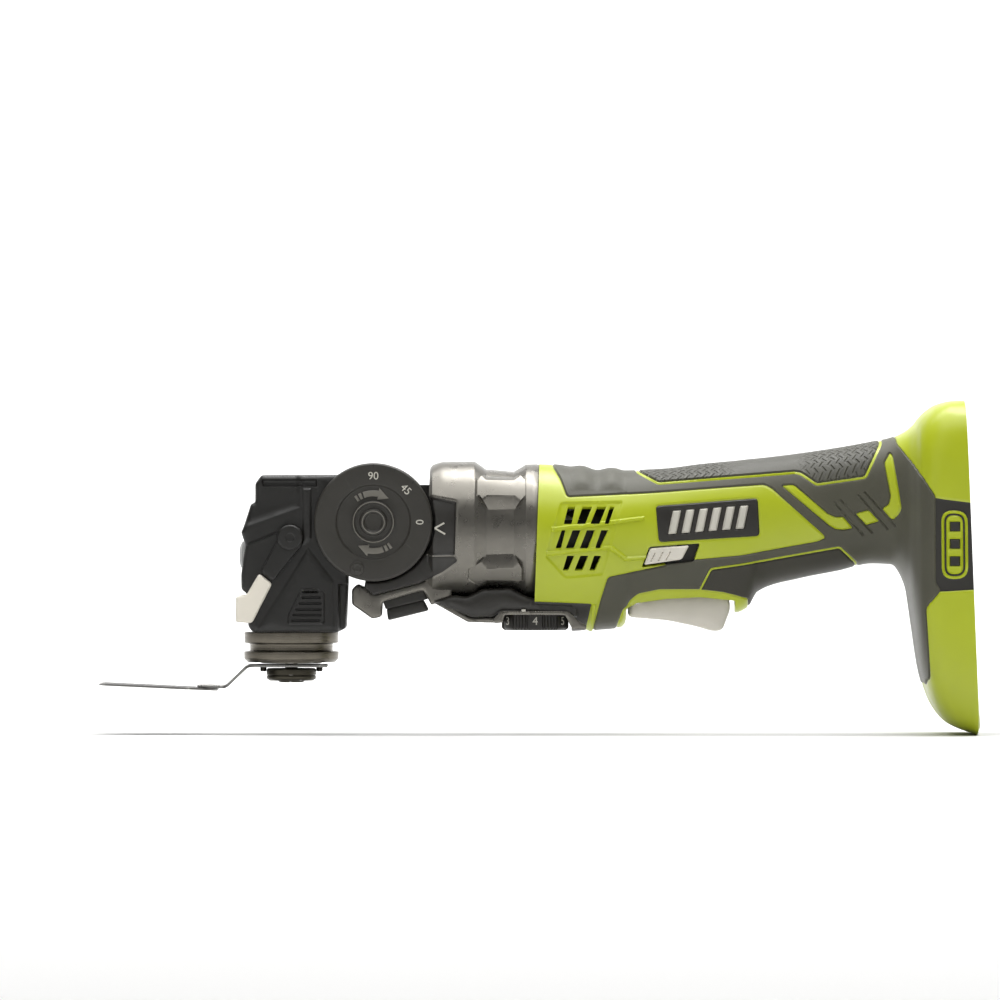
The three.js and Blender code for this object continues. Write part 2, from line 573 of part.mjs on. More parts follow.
for (const side of SIDES) {
  piece(tool, `housing_${sideName(side)}`, housingShell(side), green);
  piece(tool, `side_grip_${sideName(side)}`, sideGrip(side), softGrey);
  piece(tool, `name_plate_${sideName(side)}`, namePlate(side), black);
  piece(tool, `foot_badge_${sideName(side)}`, footBadge(side), softGrey);
  piece(tool, `head_shell_${sideName(side)}`, headShell(side), black);
  piece(tool, `dial_${sideName(side)}`, dialDisc(side), dialBlack);
  piece(tool, `pivot_bolt_${sideName(side)}`, pivotBolt(side), dialBlack);
  piece(tool, `arm_cover_${sideName(side)}`, armCover(side), black);
}
piece(tool, 'top_grip_pad', topGripPad(), softGrey);
SCREWS.forEach((place, i) => piece(tool, `housing_screw_${i + 1}`, housingScrew(place), steel));

piece(tool, 'gear_housing', gearHousing(), silver);
piece(tool, 'neck_yoke', neckYoke(), black);
piece(tool, 'latch_bracket', latchBracket(), silver);
piece(tool, 'release_button', releaseButton(), black);
piece(tool, 'release_spring', releaseSpring(), steel);
piece(tool, 'chin_cover', chinCover(), black);
piece(tool, 'belly_trim', bellyTrim(), silver);
piece(tool, 'speed_board', speedBoard(), board);
piece(tool, 'speed_wheel', speedWheel(), black).position.x = WHEEL_X;
piece(tool, 'idler_gear', idlerGear(), steel).rotation.z = Math.PI / 2;
tool.add(driveLine());

piece(tool, 'switch_body', switchBody(), black);
piece(tool, 'trigger', trigger(), paleGrey);
piece(tool, 'trigger_pin', triggerPin(), steel);
piece(tool, 'lock_slide', lockSlide(), paleGrey);
piece(tool, 'terminal_block', terminalBlock(), black);
piece(tool, 'contact_positive', contact(-7.3), copper);
piece(tool, 'contact_negative', contact(7.3), copper);
piece(tool, 'dock_plate', dockPlate(), black);

piece(tool, 'nose_guard', noseGuard(), paleGrey);
piece(tool, 'led_lens', ledLens(), lens);
piece(tool, 'eccentric_bracket', eccentricBracket(), silver);
piece(tool, 'eccentric_shaft', eccentricShaft(), steel);

const spindleLine = new THREE.Group();
spindleLine.position.x = SPINDLE_X;
piece(spindleLine, 'collar_ring', collarRing(), steel);
piece(spindleLine, 'lower_bearing', tube('z', 11.8, SPINDLE_RADIUS + GAP, -46, -40, [0, 0], 24), steel);
piece(spindleLine, 'upper_bearing', tube('z', 9, SPINDLE_RADIUS + GAP, 10.2, 14, [0, 0], 24), steel);
piece(spindleLine, 'spindle', spindle(), steel);
piece(spindleLine, 'drive_fork', driveFork(), darkSteel);
piece(spindleLine, 'blade_holder', bladeHolder(), darkSteel);
piece(spindleLine, 'saw_blade', sawBlade(), darkSteel);
piece(spindleLine, 'clamp_washer', clampWasher(), darkSteel);
piece(spindleLine, 'clamp_bolt', clampBolt(), darkSteel);
tool.add(spindleLine);

// The tool stands on its foot, with its origin under the middle of its length.
tool.position.set(-(BLADE_TIP + FOOT_BACK) / 2, 0, -FOOT_BOTTOM);

export default tool;
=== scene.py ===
import json
import math

import bmesh
import bpy
import numpy as np
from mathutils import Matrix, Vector
from mathutils.geometry import delaunay_2d_cdt


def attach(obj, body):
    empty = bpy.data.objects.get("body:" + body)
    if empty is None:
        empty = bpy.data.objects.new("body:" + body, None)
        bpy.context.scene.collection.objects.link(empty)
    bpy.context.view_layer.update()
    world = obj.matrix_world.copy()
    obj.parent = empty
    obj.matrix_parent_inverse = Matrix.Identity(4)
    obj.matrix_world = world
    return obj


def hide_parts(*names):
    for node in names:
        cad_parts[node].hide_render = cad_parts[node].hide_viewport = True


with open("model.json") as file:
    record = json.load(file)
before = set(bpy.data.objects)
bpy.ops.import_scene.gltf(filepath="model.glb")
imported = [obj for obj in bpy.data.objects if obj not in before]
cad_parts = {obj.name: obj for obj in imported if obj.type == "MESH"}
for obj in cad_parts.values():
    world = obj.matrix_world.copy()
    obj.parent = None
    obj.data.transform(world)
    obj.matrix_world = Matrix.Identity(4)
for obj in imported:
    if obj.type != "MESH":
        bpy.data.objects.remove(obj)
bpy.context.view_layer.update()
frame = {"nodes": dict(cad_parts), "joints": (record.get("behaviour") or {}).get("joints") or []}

MM = 0.001
JOINTS = {joint["name"]: joint for joint in frame["joints"]}
PIVOT = np.array(JOINTS["head_pivot"]["pos_m"])
SPINDLE_X = (JOINTS["spindle_oscillation"]["pos_m"][0] - PIVOT[0]) / MM
WHEEL_X = (JOINTS["speed_wheel_turn"]["pos_m"][0] - PIVOT[0]) / MM
SIDES = {"left": -1, "right": 1}

DIAL_RADIUS = 20.6
CHEEK = 20.4  # outer face of the head
SEAM = 0.15  # half the gap between the two halves of the head
GROOVE = 0.28  # depth of the line where two mouldings meet
GROOVE_WIDTH = 0.55
RIM = 0.12  # how far the edge of an opening is rounded off

# The housing's and the gear case's sections: place along X, top, bottom, half width, height of the
# widest line, squareness (2 is round) and how far the section leans per millimetre of height.
HOUSING = [
    (57, 20.3, -37.8, 24.3, -3.5, 2.1, 0.035), (63, 20, -38.2, 24.5, -3.5, 2.1, 0.035),
    (70, 18.9, -38.3, 24.4, -3.6, 2.15, 0.035), (79, 18, -37.6, 23.8, -3.6, 2.2, 0.03),
    (84.6, 17.9, -37.1, 23.2, -3.5, 2.2, 0.02), (87.4, 17.9, -36.4, 22.9, -3.4, 2.25, 0.01),
    (89.4, 17.9, -32.2, 22.6, -3.2, 2.3, 0.01), (92, 18, -30.6, 22.4, -3.1, 2.3, 0.005),
    (102, 18.5, -29.2, 21.4, -2.5, 2.4, 0), (114, 20, -28.9, 20.4, -2, 2.4, 0),
    (122, 20.8, -30.6, 19.9, -1.7, 2.4, 0), (126.6, 21.2, -31.6, 19.6, -1.5, 2.4, 0),
    (130.8, 21.7, -29.6, 19.4, -1, 2.4, 0),
    (134, 22, -24.3, 19.2, -0.5, 2.4, 0), (149, 23.8, -19.6, 18.8, 2, 2.4, 0),
    (163, 25.9, -16.8, 18.8, 4.4, 2.5, 0), (174, 27.9, -14.3, 19.6, 6, 2.7, 0),
    (181, 29.4, -14.6, 21.6, 6, 3, 0), (186, 31.8, -22, 26.5, 2, 3.4, 0),
    (188.6, 33.8, -37, 31, -4, 4, 0), (191, 36.2, -54, 35, -9, 4.6, -0.01),
    (194.5, 39, -64.6, 37.6, -13, 5, -0.02), (199, 41.3, -70.4, 38.6, -14, 5.5, -0.03),
    (204, 42.3, -72.8, 39, -14, 6, -0.036), (208, 42.4, -74.2, 39.2, -14, 6, -0.04),
]
GEARCASE = [
    (18.6, 19.6, -26.2, 23.2, -3, 2.2, 0.035), (24, 21.2, -27, 24.2, -3, 2.2, 0.035),
    (35.6, 21.2, -27, 24.2, -3, 2.2, 0.035), (52.6, 20.2, -27.6, 24.2, -3, 2.15, 0.035),
    (56.6, 20.3, -27.8, 24.3, -3.5, 2.1, 0.035), (57, 19.6, -27.1, 23.6, -3.5, 2.1, 0.035),
    (60, 19.6, -27.1, 23.6, -3.5, 2.1, 0.035),
]

# Side outlines, as X and Z.
SIDE_GRIP = [
    (62.5, 40), (62.5, 19.6), (65.3, 14.7), (67.4, 8.8), (97.4, 10.3), (136.1, 13.2), (138.6, 12),
    (156.8, -4.4), (157.3, -5.6), (155, -6.7), (128.1, -11.6), (109.9, -13.3), (81.7, -19.2), (79.1, -27.3),
    (76.8, -36.8), (76.3, -50), (134, -60), (188, -60), (193.4, -54.8),
    (191.8, -29.9), (197, -23.7), (195.1, -21), (195.1, 8.9), (182.3, 27.4), (181.6, 34), (181, 50),
]
TOP_PAD = [
    (92.5, 40), (92.5, 17.8), (99.4, 14), (147.3, 17.8), (149.4, 17.2), (154.5, 13.6), (171.1, 16),
    (176.5, 27.6), (176.8, 50),
]
LOWER_PANEL = [
    (112.4, -27.6), (117.8, -16.7), (128.1, -15.2), (162.4, -9.2), (168.3, -14.7), (166.6, -40),
    (134, -60), (112.4, -60),
]
TRIGGER_BAND = [
    (83.3, -60), (84.9, -36.4), (86.8, -31.1), (89.5, -27.3), (92.4, -25.1), (99.8, -23.6), (113, -23.6),
    (121.9, -24.6), (130.8, -26.8), (133, -60),
]
TRIGGER_GAP = [
    (88.2, -60), (88.2, -30.2), (92, -28.3), (102, -26.9), (114, -26.3), (122, -27.1), (126.2, -27.5),
    (126.2, -60),
]
FRONT_WAVES = [[(x, 10.5), (x + 9.6, 10.5), (x + 9.6, 40), (x, 40)] for x in (68, 78.2)]
ZIGZAG = [
    (142.3, 12.8), (146.4, 13.1), (158.4, 2.8), (161.1, 1.7), (163.6, 1.9), (167, -2.1), (163.8, -2.7),
    (161, -2.4), (158.9, -1.2),
]
SQUARE = [(168, 3), (172.4, 4.2), (176, 0.3), (171.6, -1)]
LIMB = [
    (177.1, 4.7), (179.4, 6.1), (180.1, 8.9), (177.9, 20.5), (179.9, 24.3), (180.8, 23), (183.7, 4.9),
    (183, 2.8), (180.9, 0.9), (179.9, 1.4),
]
SLASHES = [((160.3, 7.1), (170.9, -4.7)), ((162.4, 8), (174.1, -4)),
           ((168.7, 9.8), (179.4, -2.7)), ((170.9, 10.7), (182.1, -1.8))]
NAME_PLATE = [(98.3, 5.7), (133.9, 8.4), (134.6, -4.8), (99.4, -7)]
LOCK_SLOT = [(96.1, -8.6), (113.8, -7.4), (111.7, -13.9), (93.4, -15.9)]
LOCK_BUTTON = [(96.4, -9.1), (110, -8.1), (107.4, -13), (94.2, -14.9)]
FOOT_PANEL = [(189, 9.4), (197.4, 8), (215, 5.8), (215, -23), (197.3, -24.1), (189, -24.6)]
FOOT_BADGE = [(197, 4.2), (206.2, 3.9), (206.4, -19.6), (197.2, -19.8)]
VENT_ROWS = [  # lower and upper height, then each slot's lower and upper edge along X
    (-0.6, 5.6, ((66.3, 69, 67.8, 70.3), (70.9, 73.8, 72.8, 76.2), (75.6, 78.7, 78, 81.2),
                 (80.5, 82, 82.5, 84))),
    (-9.2, -2.8, ((63.4, 65.3, 65.6, 66.9), (67, 69.7, 69.4, 72.2), (71.9, 74.7, 74.4, 77.2),
                  (77.2, 78.9, 79.4, 81.9))),
    (-17, -11.8, ((65.9, 67.8, 67.5, 70), (70, 72.8, 72.1, 74.9), (75.2, 77.2, 76.9, 79.4))),
]
VENT_WINDOW = [(65.1, 7.1), (87.1, 7.6), (84.7, -1.8), (80.1, -18.7), (66.7, -19.9), (59.5, -12.1)]
UPPER_RIB = [(61.8, -1.6), (94.5, 2.2), (94.5, 0.8), (61.8, -3.6)]
LOWER_RIB = [
    (60, -10), (83, -7.9), (88.2, -11.8), (96, -11.4), (96, -12.9), (87.4, -13.6), (82, -9.6), (60, -12),
]
CHIN_SIDE = [(50, -27.6), (76, -28.6), (74.2, -37), (74, -60), (50, -60)]
WHEEL_CUT = [(50, -60), (50, -28.9), (69.2, -29.3), (68.9, -60)]
SCREWS = [(76.8, -29.4), (132, 11), (142, -13.6)]
STRIPE = [(75.9, -28.4), (77.9, -28.4), (76, -45), (74, -45)]

# The gear case: the panel behind the dial, the dark panel under it, the waist with its two straps, and
# the slopes that run up to the straps.
POINTER_PANEL = [(10, 9.3), (20.3, 8.9), (28.9, 7.2), (28.4, -11.6), (10, -12)]
UNDER_PANEL = [(10, -12.2), (28.2, -12), (29.4, -13.6), (24, -17.6), (16, -21.4), (8, -24)]
WAIST = [(35.2, 40), (35.2, -50), (53.2, -50), (53.2, 40)]
BRIDGES = [
    [(36.2, 14.6), (53, 14.8), (53, 9.4), (36.2, 9.6)],
    [(33.4, -16.4), (51.6, -16.2), (51.6, -20.6), (33, -20.2)],
]
RAMPS = [  # outline, then the line from its foot to its top
    ([(37, 9.6), (52.8, 9.4), (48.8, 5), (40.2, 5.2)], ((44, 5.1), (44, 9.5))),
    ([(36.2, 14.6), (53, 14.8), (49.6, 18), (39, 18.2)], ((44, 18.2), (44, 14.7))),
    ([(40, -12), (49, -12), (51.6, -16.2), (34.2, -16.4)], ((44, -12), (44, -16.3))),
    ([(33.6, -20.2), (51, -20.6), (47.8, -23.6), (38, -23.2)], ((44, -23.5), (44, -20.4))),
]

# Below the gear case: the latch, the chin with the speed wheel in it, and the trigger.
LATCH_BRACKET = [
    (-5.7, -21.6), (-7.6, -23.4), (-7.6, -28.7), (-0.4, -33.8), (2.8, -33), (3.1, -27.9), (17.3, -23.8),
    (20.2, -29), (21.4, -28.4), (27.4, -26.2), (27.4, -16.2), (16, -21.2), (-0.1, -25.4), (-3, -22.8),
]
RELEASE_LINER = [(3.2, -27.7), (17.2, -23.7), (18.9, -26.9), (4.2, -30.4)]
RELEASE_BUTTON = [(4.4, -30), (17.3, -27), (19.3, -30.9), (5, -34.4)]
CHIN = [
    (20.7, -27.7), (28, -25.4), (32.6, -26), (38.2, -23.2), (47.6, -22.8), (52, -25.2), (56, -26.6),
    (71.8, -28.8), (71, -33.4), (66, -32), (44.7, -31.2), (41.8, -33.1), (34.2, -33.3),
]
BELLY_TRIM = [
    (20.3, -27.8), (25.6, -28.9), (34, -33.2), (41.9, -33), (43.9, -31.4), (44.4, -35.2), (32.9, -34.9),
]
WHEEL_INDEX = [(51.6, -30.4), (53, -30.4), (53, -31.2), (51.6, -31.2)]
WHEEL_RAIL = [
    (41.4, -34.4), (44.4, -30.9), (67.8, -31), (70.8, -34), (74.2, -36), (74.2, -37.3), (69.2, -37.2),
    (66.8, -32.4), (45.8, -32.3), (45, -35), (42.4, -35.3),
]
TRIGGER = [
    (88.9, -29), (88.8, -33.2), (102.2, -34.3), (112, -36.3), (118.5, -38.2), (121.8, -37.8), (124.6, -30.5),
    (124.2, -26.2), (118, -25), (104, -25.4), (91, -26.6),
]

# The head.
HEAD_FRONT = [
    (-39, 16.4), (-41.2, 13.4), (-41.2, 6.9), (-42.7, 6.3), (-45.4, -2.1), (-46.1, -3.5), (-44.6, -8),
    (-45.4, -13), (-46.1, -18.4), (-46, -23.4), (-44, -25), (-43.6, -36.4), (-42, -38.4), (-12.6, -38.4),
    (-9.6, -37), (-9, -22),
]
HEAD_RIB_PANEL = [
    (-25.2, -23), (-19.6, -22.8), (-16.8, -24.5), (-16.8, -34.7), (-17.5, -35.8), (-29.9, -35.8),
    (-29.9, -32.2),
]
PIVOT_BORE = 4.9
ARM_COVER = [
    (-33.3, -6.3), (-36, -11.2), (-39.4, -17.2), (-34.9, -20.8), (-24.8, -8.2), (-25.4, -3.4), (-29, -1.4),
    (-32.6, -3.4),
]
NOSE_SIDE = [(-39.8, -17.8), (-44.2, -25.4), (-47.8, -25.8), (-48, -34.8), (-42.2, -35.2), (-35.2, -21.4)]
LENS = [(-42.9, -5.9), (-45.8, -6.6), (-46.8, -9), (-46.8, -14.4), (-45.8, -16.8), (-42.9, -17.1)]
BLADE_HOLDER = [
    (-16.1, -50.7), (-43.9, -50.7), (-51.6, -58.1), (-61.6, -57.7), (-61.6, -56.7), (-51.9, -57.1),
    (-44.3, -49.7), (-16.1, -49.7),
]


# ---- lines and outlines -------------------------------------------------------------------------------
def rounded(outline, radius, closed=True):
    """The outline with each corner turned into a short curve."""
    points = [Vector(point) for point in outline]
    made = []
    for i, corner in enumerate(points):
        if not closed and i in (0, len(points) - 1):
            made.append(tuple(corner))
            continue
        before = points[i - 1] - corner
        after = points[(i + 1) % len(points)] - corner
        reach = min(radius, 0.45 * before.length, 0.45 * after.length)
        start = corner + before.normalized() * reach
        end = corner + after.normalized() * reach
        for step in range(6):
            t = step / 5
            made.append(tuple(start * (1 - t) ** 2 + corner * 2 * t * (1 - t) + end * t ** 2))
    return made


def resampled(line, step, closed=True):
    """The same line as an array, with a point at least every step."""
    points = np.asarray(line, float)
    ends = np.roll(points, -1, axis=0) if closed else points[1:]
    made = []
    for a, b in zip(points, ends):
        count = max(1, math.ceil(np.linalg.norm(b - a) / step))
        made.append(a + (b - a) * (np.arange(count) / count)[:, None])
    if not closed:
        made.append(points[-1:])
    return np.vstack(made)


def circle(radius, centre=(0, 0), sides=96):
    angles = np.arange(sides) * 2 * math.pi / sides
    return [(centre[0] + radius * math.cos(a), centre[1] + radius * math.sin(a)) for a in angles]


def arc(radius, start, end, centre=(0, 0), sides=24):
    """Points from one angle to another, in degrees."""
    angles = np.radians(np.linspace(start, end, sides))
    return [(centre[0] + radius * math.cos(a), centre[1] + radius * math.sin(a)) for a in angles]


def sector(inner, outer, start, end, sides=14):
    """Part of a ring, from one angle to another."""
    return arc(outer, start, end, sides=sides) + arc(inner, end, start, sides=sides)


def strip(a, b, width):
    """A thin outline about the line from a to b."""
    along = (Vector(b) - Vector(a)).normalized() * (width / 2)
    across = Vector((-along.y, along.x))
    return [tuple(Vector(p) + s) for p, s in ((a, across), (a, -across), (b, -across), (b, across))]


def grown(outline, by):
    """The outline moved outwards by a distance."""
    points = [Vector(p) for p in outline]
    area = sum(a.x * b.y - b.x * a.y for a, b in zip(points, points[1:] + points[:1]))
    turn = 1 if area > 0 else -1
    made = []
    for i, here in enumerate(points):
        a = (here - points[i - 1]).normalized()
        b = (points[(i + 1) % len(points)] - here).normalized()
        normal = Vector((a.y + b.y, -a.x - b.x)) * turn
        normal.normalize()
        stretch = max(0.4, normal.dot(Vector((a.y, -a.x)) * turn))
        made.append(tuple(here + normal * by / stretch))
    return made


def pill(outline):
    """A four-cornered outline with ends as round as it is wide."""
    width = math.dist(outline[0], outline[1])
    return rounded(outline, width * 0.5)


def segments(loop):
    """A closed outline as line pieces: rows of x0, y0, x1, y1."""
    return np.hstack([loop, np.roll(loop, -1, axis=0)])


def middle_of(pieces):
    return (pieces[:, :2] + pieces[:, 2:]) / 2


def across(pieces):
    """A vector of length 1 across each line piece."""
    along = pieces[:, 2:] - pieces[:, :2]
    length = np.maximum(np.linalg.norm(along, axis=1), 1e-9)
    return np.column_stack([-along[:, 1], along[:, 0]]) / length[:, None]


def inside(points, loop):
    """True for each point within a closed outline."""
    loop = np.asarray(loop, float)
    found = np.zeros(len(points), bool)
    near = np.flatnonzero(((points >= loop.min(0)) & (points <= loop.max(0))).all(1))
    x, y = points[near, 0], points[near, 1]
    crossed = np.zeros(len(near), bool)
    for (x0, y0), (x1, y1) in zip(loop, np.roll(loop, -1, axis=0)):
        if y0 != y1:
            crossed ^= ((y0 > y) != (y1 > y)) & (x < (x1 - x0) * (y - y0) / (y1 - y0) + x0)
    found[near] = crossed
    return found


def distance(points, pieces, reach=4.0):
    """Each point's distance, up to reach, to the nearest line piece."""
    best = np.full(len(points), reach)
    if len(pieces) == 0 or len(points) == 0:
        return best
    left, right = np.minimum(pieces[:, 0], pieces[:, 2]), np.maximum(pieces[:, 0], pieces[:, 2])
    order = np.argsort(points[:, 0])
    for batch in np.array_split(order, max(1, len(order) // 250)):
        low, high = points[batch, 0].min() - reach, points[batch, 0].max() + reach
        near = pieces[(right > low) & (left < high)]
        if len(near) == 0:
            continue
        along = near[:, 2:] - near[:, :2]
        length = np.maximum((along ** 2).sum(1), 1e-12)
        offset = points[batch, None, :] - near[None, :, :2]
        t = np.clip((offset * along).sum(2) / length, 0, 1)
        gap = offset - t[:, :, None] * along
        best[batch] = np.minimum(reach, np.sqrt((gap ** 2).sum(2).min(1)))
    return best


def smooth(t):
    t = np.clip(t, 0, 1)
    return t * t * (3 - 2 * t)


def steady_curve(knots, values, x):
    """A smooth curve through the knots that never overshoots them (monotone cubic)."""
    gaps = np.diff(knots)
    rises = np.diff(values) / gaps
    slope = np.zeros(len(knots))
    slope[0], slope[-1] = rises[0], rises[-1]
    for k in range(1, len(knots) - 1):
        if rises[k - 1] * rises[k] > 0:
            w0, w1 = 2 * gaps[k] + gaps[k - 1], gaps[k] + 2 * gaps[k - 1]
            slope[k] = (w0 + w1) / (w0 / rises[k - 1] + w1 / rises[k])
    k = np.clip(np.searchsorted(knots, x) - 1, 0, len(gaps) - 1)
    t = (x - knots[k]) / gaps[k]
    return (values[k] * (1 + 2 * t) * (1 - t) ** 2 + values[k + 1] * t * t * (3 - 2 * t)
            + gaps[k] * (slope[k] * t * (1 - t) ** 2 - slope[k + 1] * t * t * (1 - t)))


# ---- surfaces that outlines are drawn on --------------------------------------------------------------
class Flat:
    """A plane across Y. Its own coordinates are X and Z."""

    def __init__(self, y):
        self.y = y

    def drawn(self, outline):
        return np.asarray(outline, float)

    def place(self, uv):
        points = np.column_stack([uv[:, 0], np.full(len(uv), self.y), uv[:, 1]])
        normals = np.tile([0.0, 1.0, 0.0], (len(uv), 1))
        return points, normals


class Skin:
    """Half of a lofted body, on the +Y side. Its coordinates are the length along the body and the
    length round each section, measured from the section's widest line and positive upwards."""

    STATIONS = 420
    AROUND = 260

    def __init__(self, sections):
        table = np.array(sections, float)
        self.x = np.linspace(table[0, 0], table[-1, 0], self.STATIONS)
        shapes = [steady_curve(table[:, 0], table[:, k], self.x) for k in range(1, 7)]
        self.top, self.bottom, self.half, self.axis, square, self.lean = shapes
        quarter = np.radians(np.linspace(0, 90, self.AROUND // 2))
        angle = np.concatenate([-quarter[::-1], quarter[1:]])
        n = square[:, None]
        size = (np.abs(np.cos(angle)) ** n + np.abs(np.sin(angle)) ** n) ** (-1 / n)
        rise = np.where(angle > 0, (self.top - self.axis)[:, None], (self.axis - self.bottom)[:, None])
        across = self.half[:, None] * size * np.cos(angle)
        up = rise * size * np.sin(angle)
        step = np.hypot(np.diff(across, axis=1), np.diff(up, axis=1))
        length = np.hstack([np.zeros((self.STATIONS, 1)), np.cumsum(step, axis=1)])
        self.low = -length[:, len(quarter) - 1]
        self.high = length[:, -1] + self.low
        self.share = np.linspace(0, 1, self.AROUND)
        self.points = np.empty((self.STATIONS, self.AROUND, 3))
        self.heights = np.empty((self.STATIONS, self.AROUND))
        for i in range(self.STATIONS):
            at = self.share * length[i, -1]
            y, z = np.interp(at, length[i], across[i]), np.interp(at, length[i], up[i])
            self.heights[i] = z
            self.points[i] = np.column_stack([self.x[i] + self.lean[i] * z, y, self.axis[i] + z])
        self.points[:, (0, -1), 1] = 0
        swell = np.hypot(np.diff(self.half), 0.5 * np.diff(self.top - self.bottom))
        growth = np.hypot(np.diff(self.x), swell)
        self.u = np.concatenate([[0], np.cumsum(growth)])
        along = np.gradient(self.points, axis=0)
        around = np.gradient(self.points, axis=1)
        normals = np.cross(around, along)
        normals /= np.maximum(np.linalg.norm(normals, axis=2, keepdims=True), 1e-12)
        if normals[:, self.AROUND // 2, 1].mean() < 0:
            normals = -normals
        self.normals = normals

    def drawn(self, outline):
        """Where points given by X and Z lie in the skin's own coordinates."""
        outline = np.asarray(outline, float)
        x = outline[:, 0].copy()
        for _ in range(8):
            height = outline[:, 1] - np.interp(x, self.x, self.axis)
            x = outline[:, 0] - np.interp(x, self.x, self.lean) * height
        beyond = np.maximum(x - self.x[-1], 0) + np.minimum(x - self.x[0], 0)
        row = np.clip(np.searchsorted(self.x, x), 0, self.STATIONS - 1)
        made = np.empty_like(outline)
        made[:, 0] = np.interp(x, self.x, self.u) + beyond
        for k, i in enumerate(row):
            z = outline[k, 1] - self.axis[i]
            length = self.share * (self.high[i] - self.low[i]) + self.low[i]
            past = max(0, z - self.heights[i, -1]) + min(0, z - self.heights[i, 0])
            made[k, 1] = np.interp(z, self.heights[i], length) + past
        return made

    def border(self, step):
        count = math.ceil(self.u[-1] / step)
        u = np.linspace(0, self.u[-1], count + 1)
        low, high = np.interp(u, self.u, self.low), np.interp(u, self.u, self.high)
        front = resampled([(0, high[0]), (0, low[0])], step, closed=False)[1:-1]
        back = resampled([(u[-1], low[-1]), (u[-1], high[-1])], step, closed=False)[1:-1]
        return np.vstack([np.column_stack([u, low]), back, np.column_stack([u, high])[::-1], front])

    def place(self, uv):
        row = np.interp(uv[:, 0], self.u, np.arange(self.STATIONS))
        i = np.clip(row.astype(int), 0, self.STATIONS - 2)
        f = (row - i)[:, None]
        low, high = (np.interp(row, np.arange(self.STATIONS), edge) for edge in (self.low, self.high))
        col = np.clip((uv[:, 1] - low) / (high - low), 0, 1) * (self.AROUND - 1)
        j = np.clip(col.astype(int), 0, self.AROUND - 2)
        g = (col - j)[:, None]
        found = []
        for grid in (self.points, self.normals):
            near = grid[i, j] * (1 - g) + grid[i, j + 1] * g
            far = grid[i + 1, j] * (1 - g) + grid[i + 1, j + 1] * g
            found.append(near * (1 - f) + far * f)
        points, normals = found
        return points, normals / np.linalg.norm(normals, axis=1, keepdims=True)


class Region:
    """Part of a surface that is a moulding of its own. A region with no name is an opening."""

    def __init__(self, name, outline, height=0.0, corner=0.8):
        self.name, self.height = name, height
        self.outline = rounded(outline, corner) if corner else outline


class Relief:
    """A raised or sunken shape that stays part of the moulding it is on. Its flanks are rounded, or
    flat when it is faceted. A ramp is a line along which the height grows from nothing to full. The
    surface never rises above the limit within it."""

    def __init__(self, outline, height, width=0.6, corner=0.8, facet=False, ramp=None, limit=9.0):
        self.height, self.width, self.facet, self.ramp, self.limit = height, width, facet, ramp, limit
        self.outline = rounded(outline, corner) if corner else outline


RINGS = (0.22, 0.55, 1.0)  # how far the rows of points lie from a line
STEP = 0.9  # the most between two points of an outline
CROWDED = 0.12  # of several points this close together, one is kept
ASIDE = 0.04  # how far to each side of a line its two regions are looked up
ON_LINE = 0.02  # a point this near to an outline is within it
SEAM_DROP, SEAM_WIDTH = 0.25, 0.8  # how the two halves round off towards the seam between them


def net(border, lines, spacing):
    """Triangles that fill a border and keep every line as edges. Rows of points run beside each line,
    except where they would crowd another one, and an even grid of points fills the rest."""
    pieces = np.vstack([segments(border)] + lines)
    beside = []
    for ring in RINGS:
        for way in (-1, 1):
            row = middle_of(pieces) + across(pieces) * ring * way
            beside.append(row[distance(row, pieces) > 0.85 * ring])
    low, high = border.min(0), border.max(0)
    u, v = np.meshgrid(np.arange(low[0], high[0], spacing), np.arange(low[1], high[1], spacing))
    v = v + (np.arange(u.shape[1]) % 2) * spacing / 2
    grid = np.column_stack([u.ravel(), v.ravel()])
    grid = grid[inside(grid, border)]
    grid = grid[distance(grid, pieces) > RINGS[-1] + 0.45 * spacing]
    free = np.vstack(beside)
    free = free[inside(free, border)]
    _, first = np.unique(np.round(free / CROWDED).astype(int), axis=0, return_index=True)
    free = np.vstack([free[np.sort(first)], grid])
    ends = pieces.reshape(-1, 2)
    keys = np.round(ends, 6)
    unique, index = np.unique(keys, axis=0, return_inverse=True)
    index = index.reshape(-1, 2)
    edges = [(int(a), int(b)) for a, b in index if a != b]
    points = [Vector(p) for p in unique] + [Vector(p) for p in free]
    made, _, faces, _, _, _ = delaunay_2d_cdt(points, edges, [], 0, 1e-5)
    verts = np.array([tuple(p) for p in made])
    faces = np.array([face for face in faces if len(face) == 3])
    keep = inside(verts[faces].mean(1), border)
    return verts, faces[keep]


def drawn_on(surface, outline):
    """An outline given from the side, as closely spaced points in the surface's own coordinates."""
    return resampled(surface.drawn(resampled(outline, 1.0)), STEP)


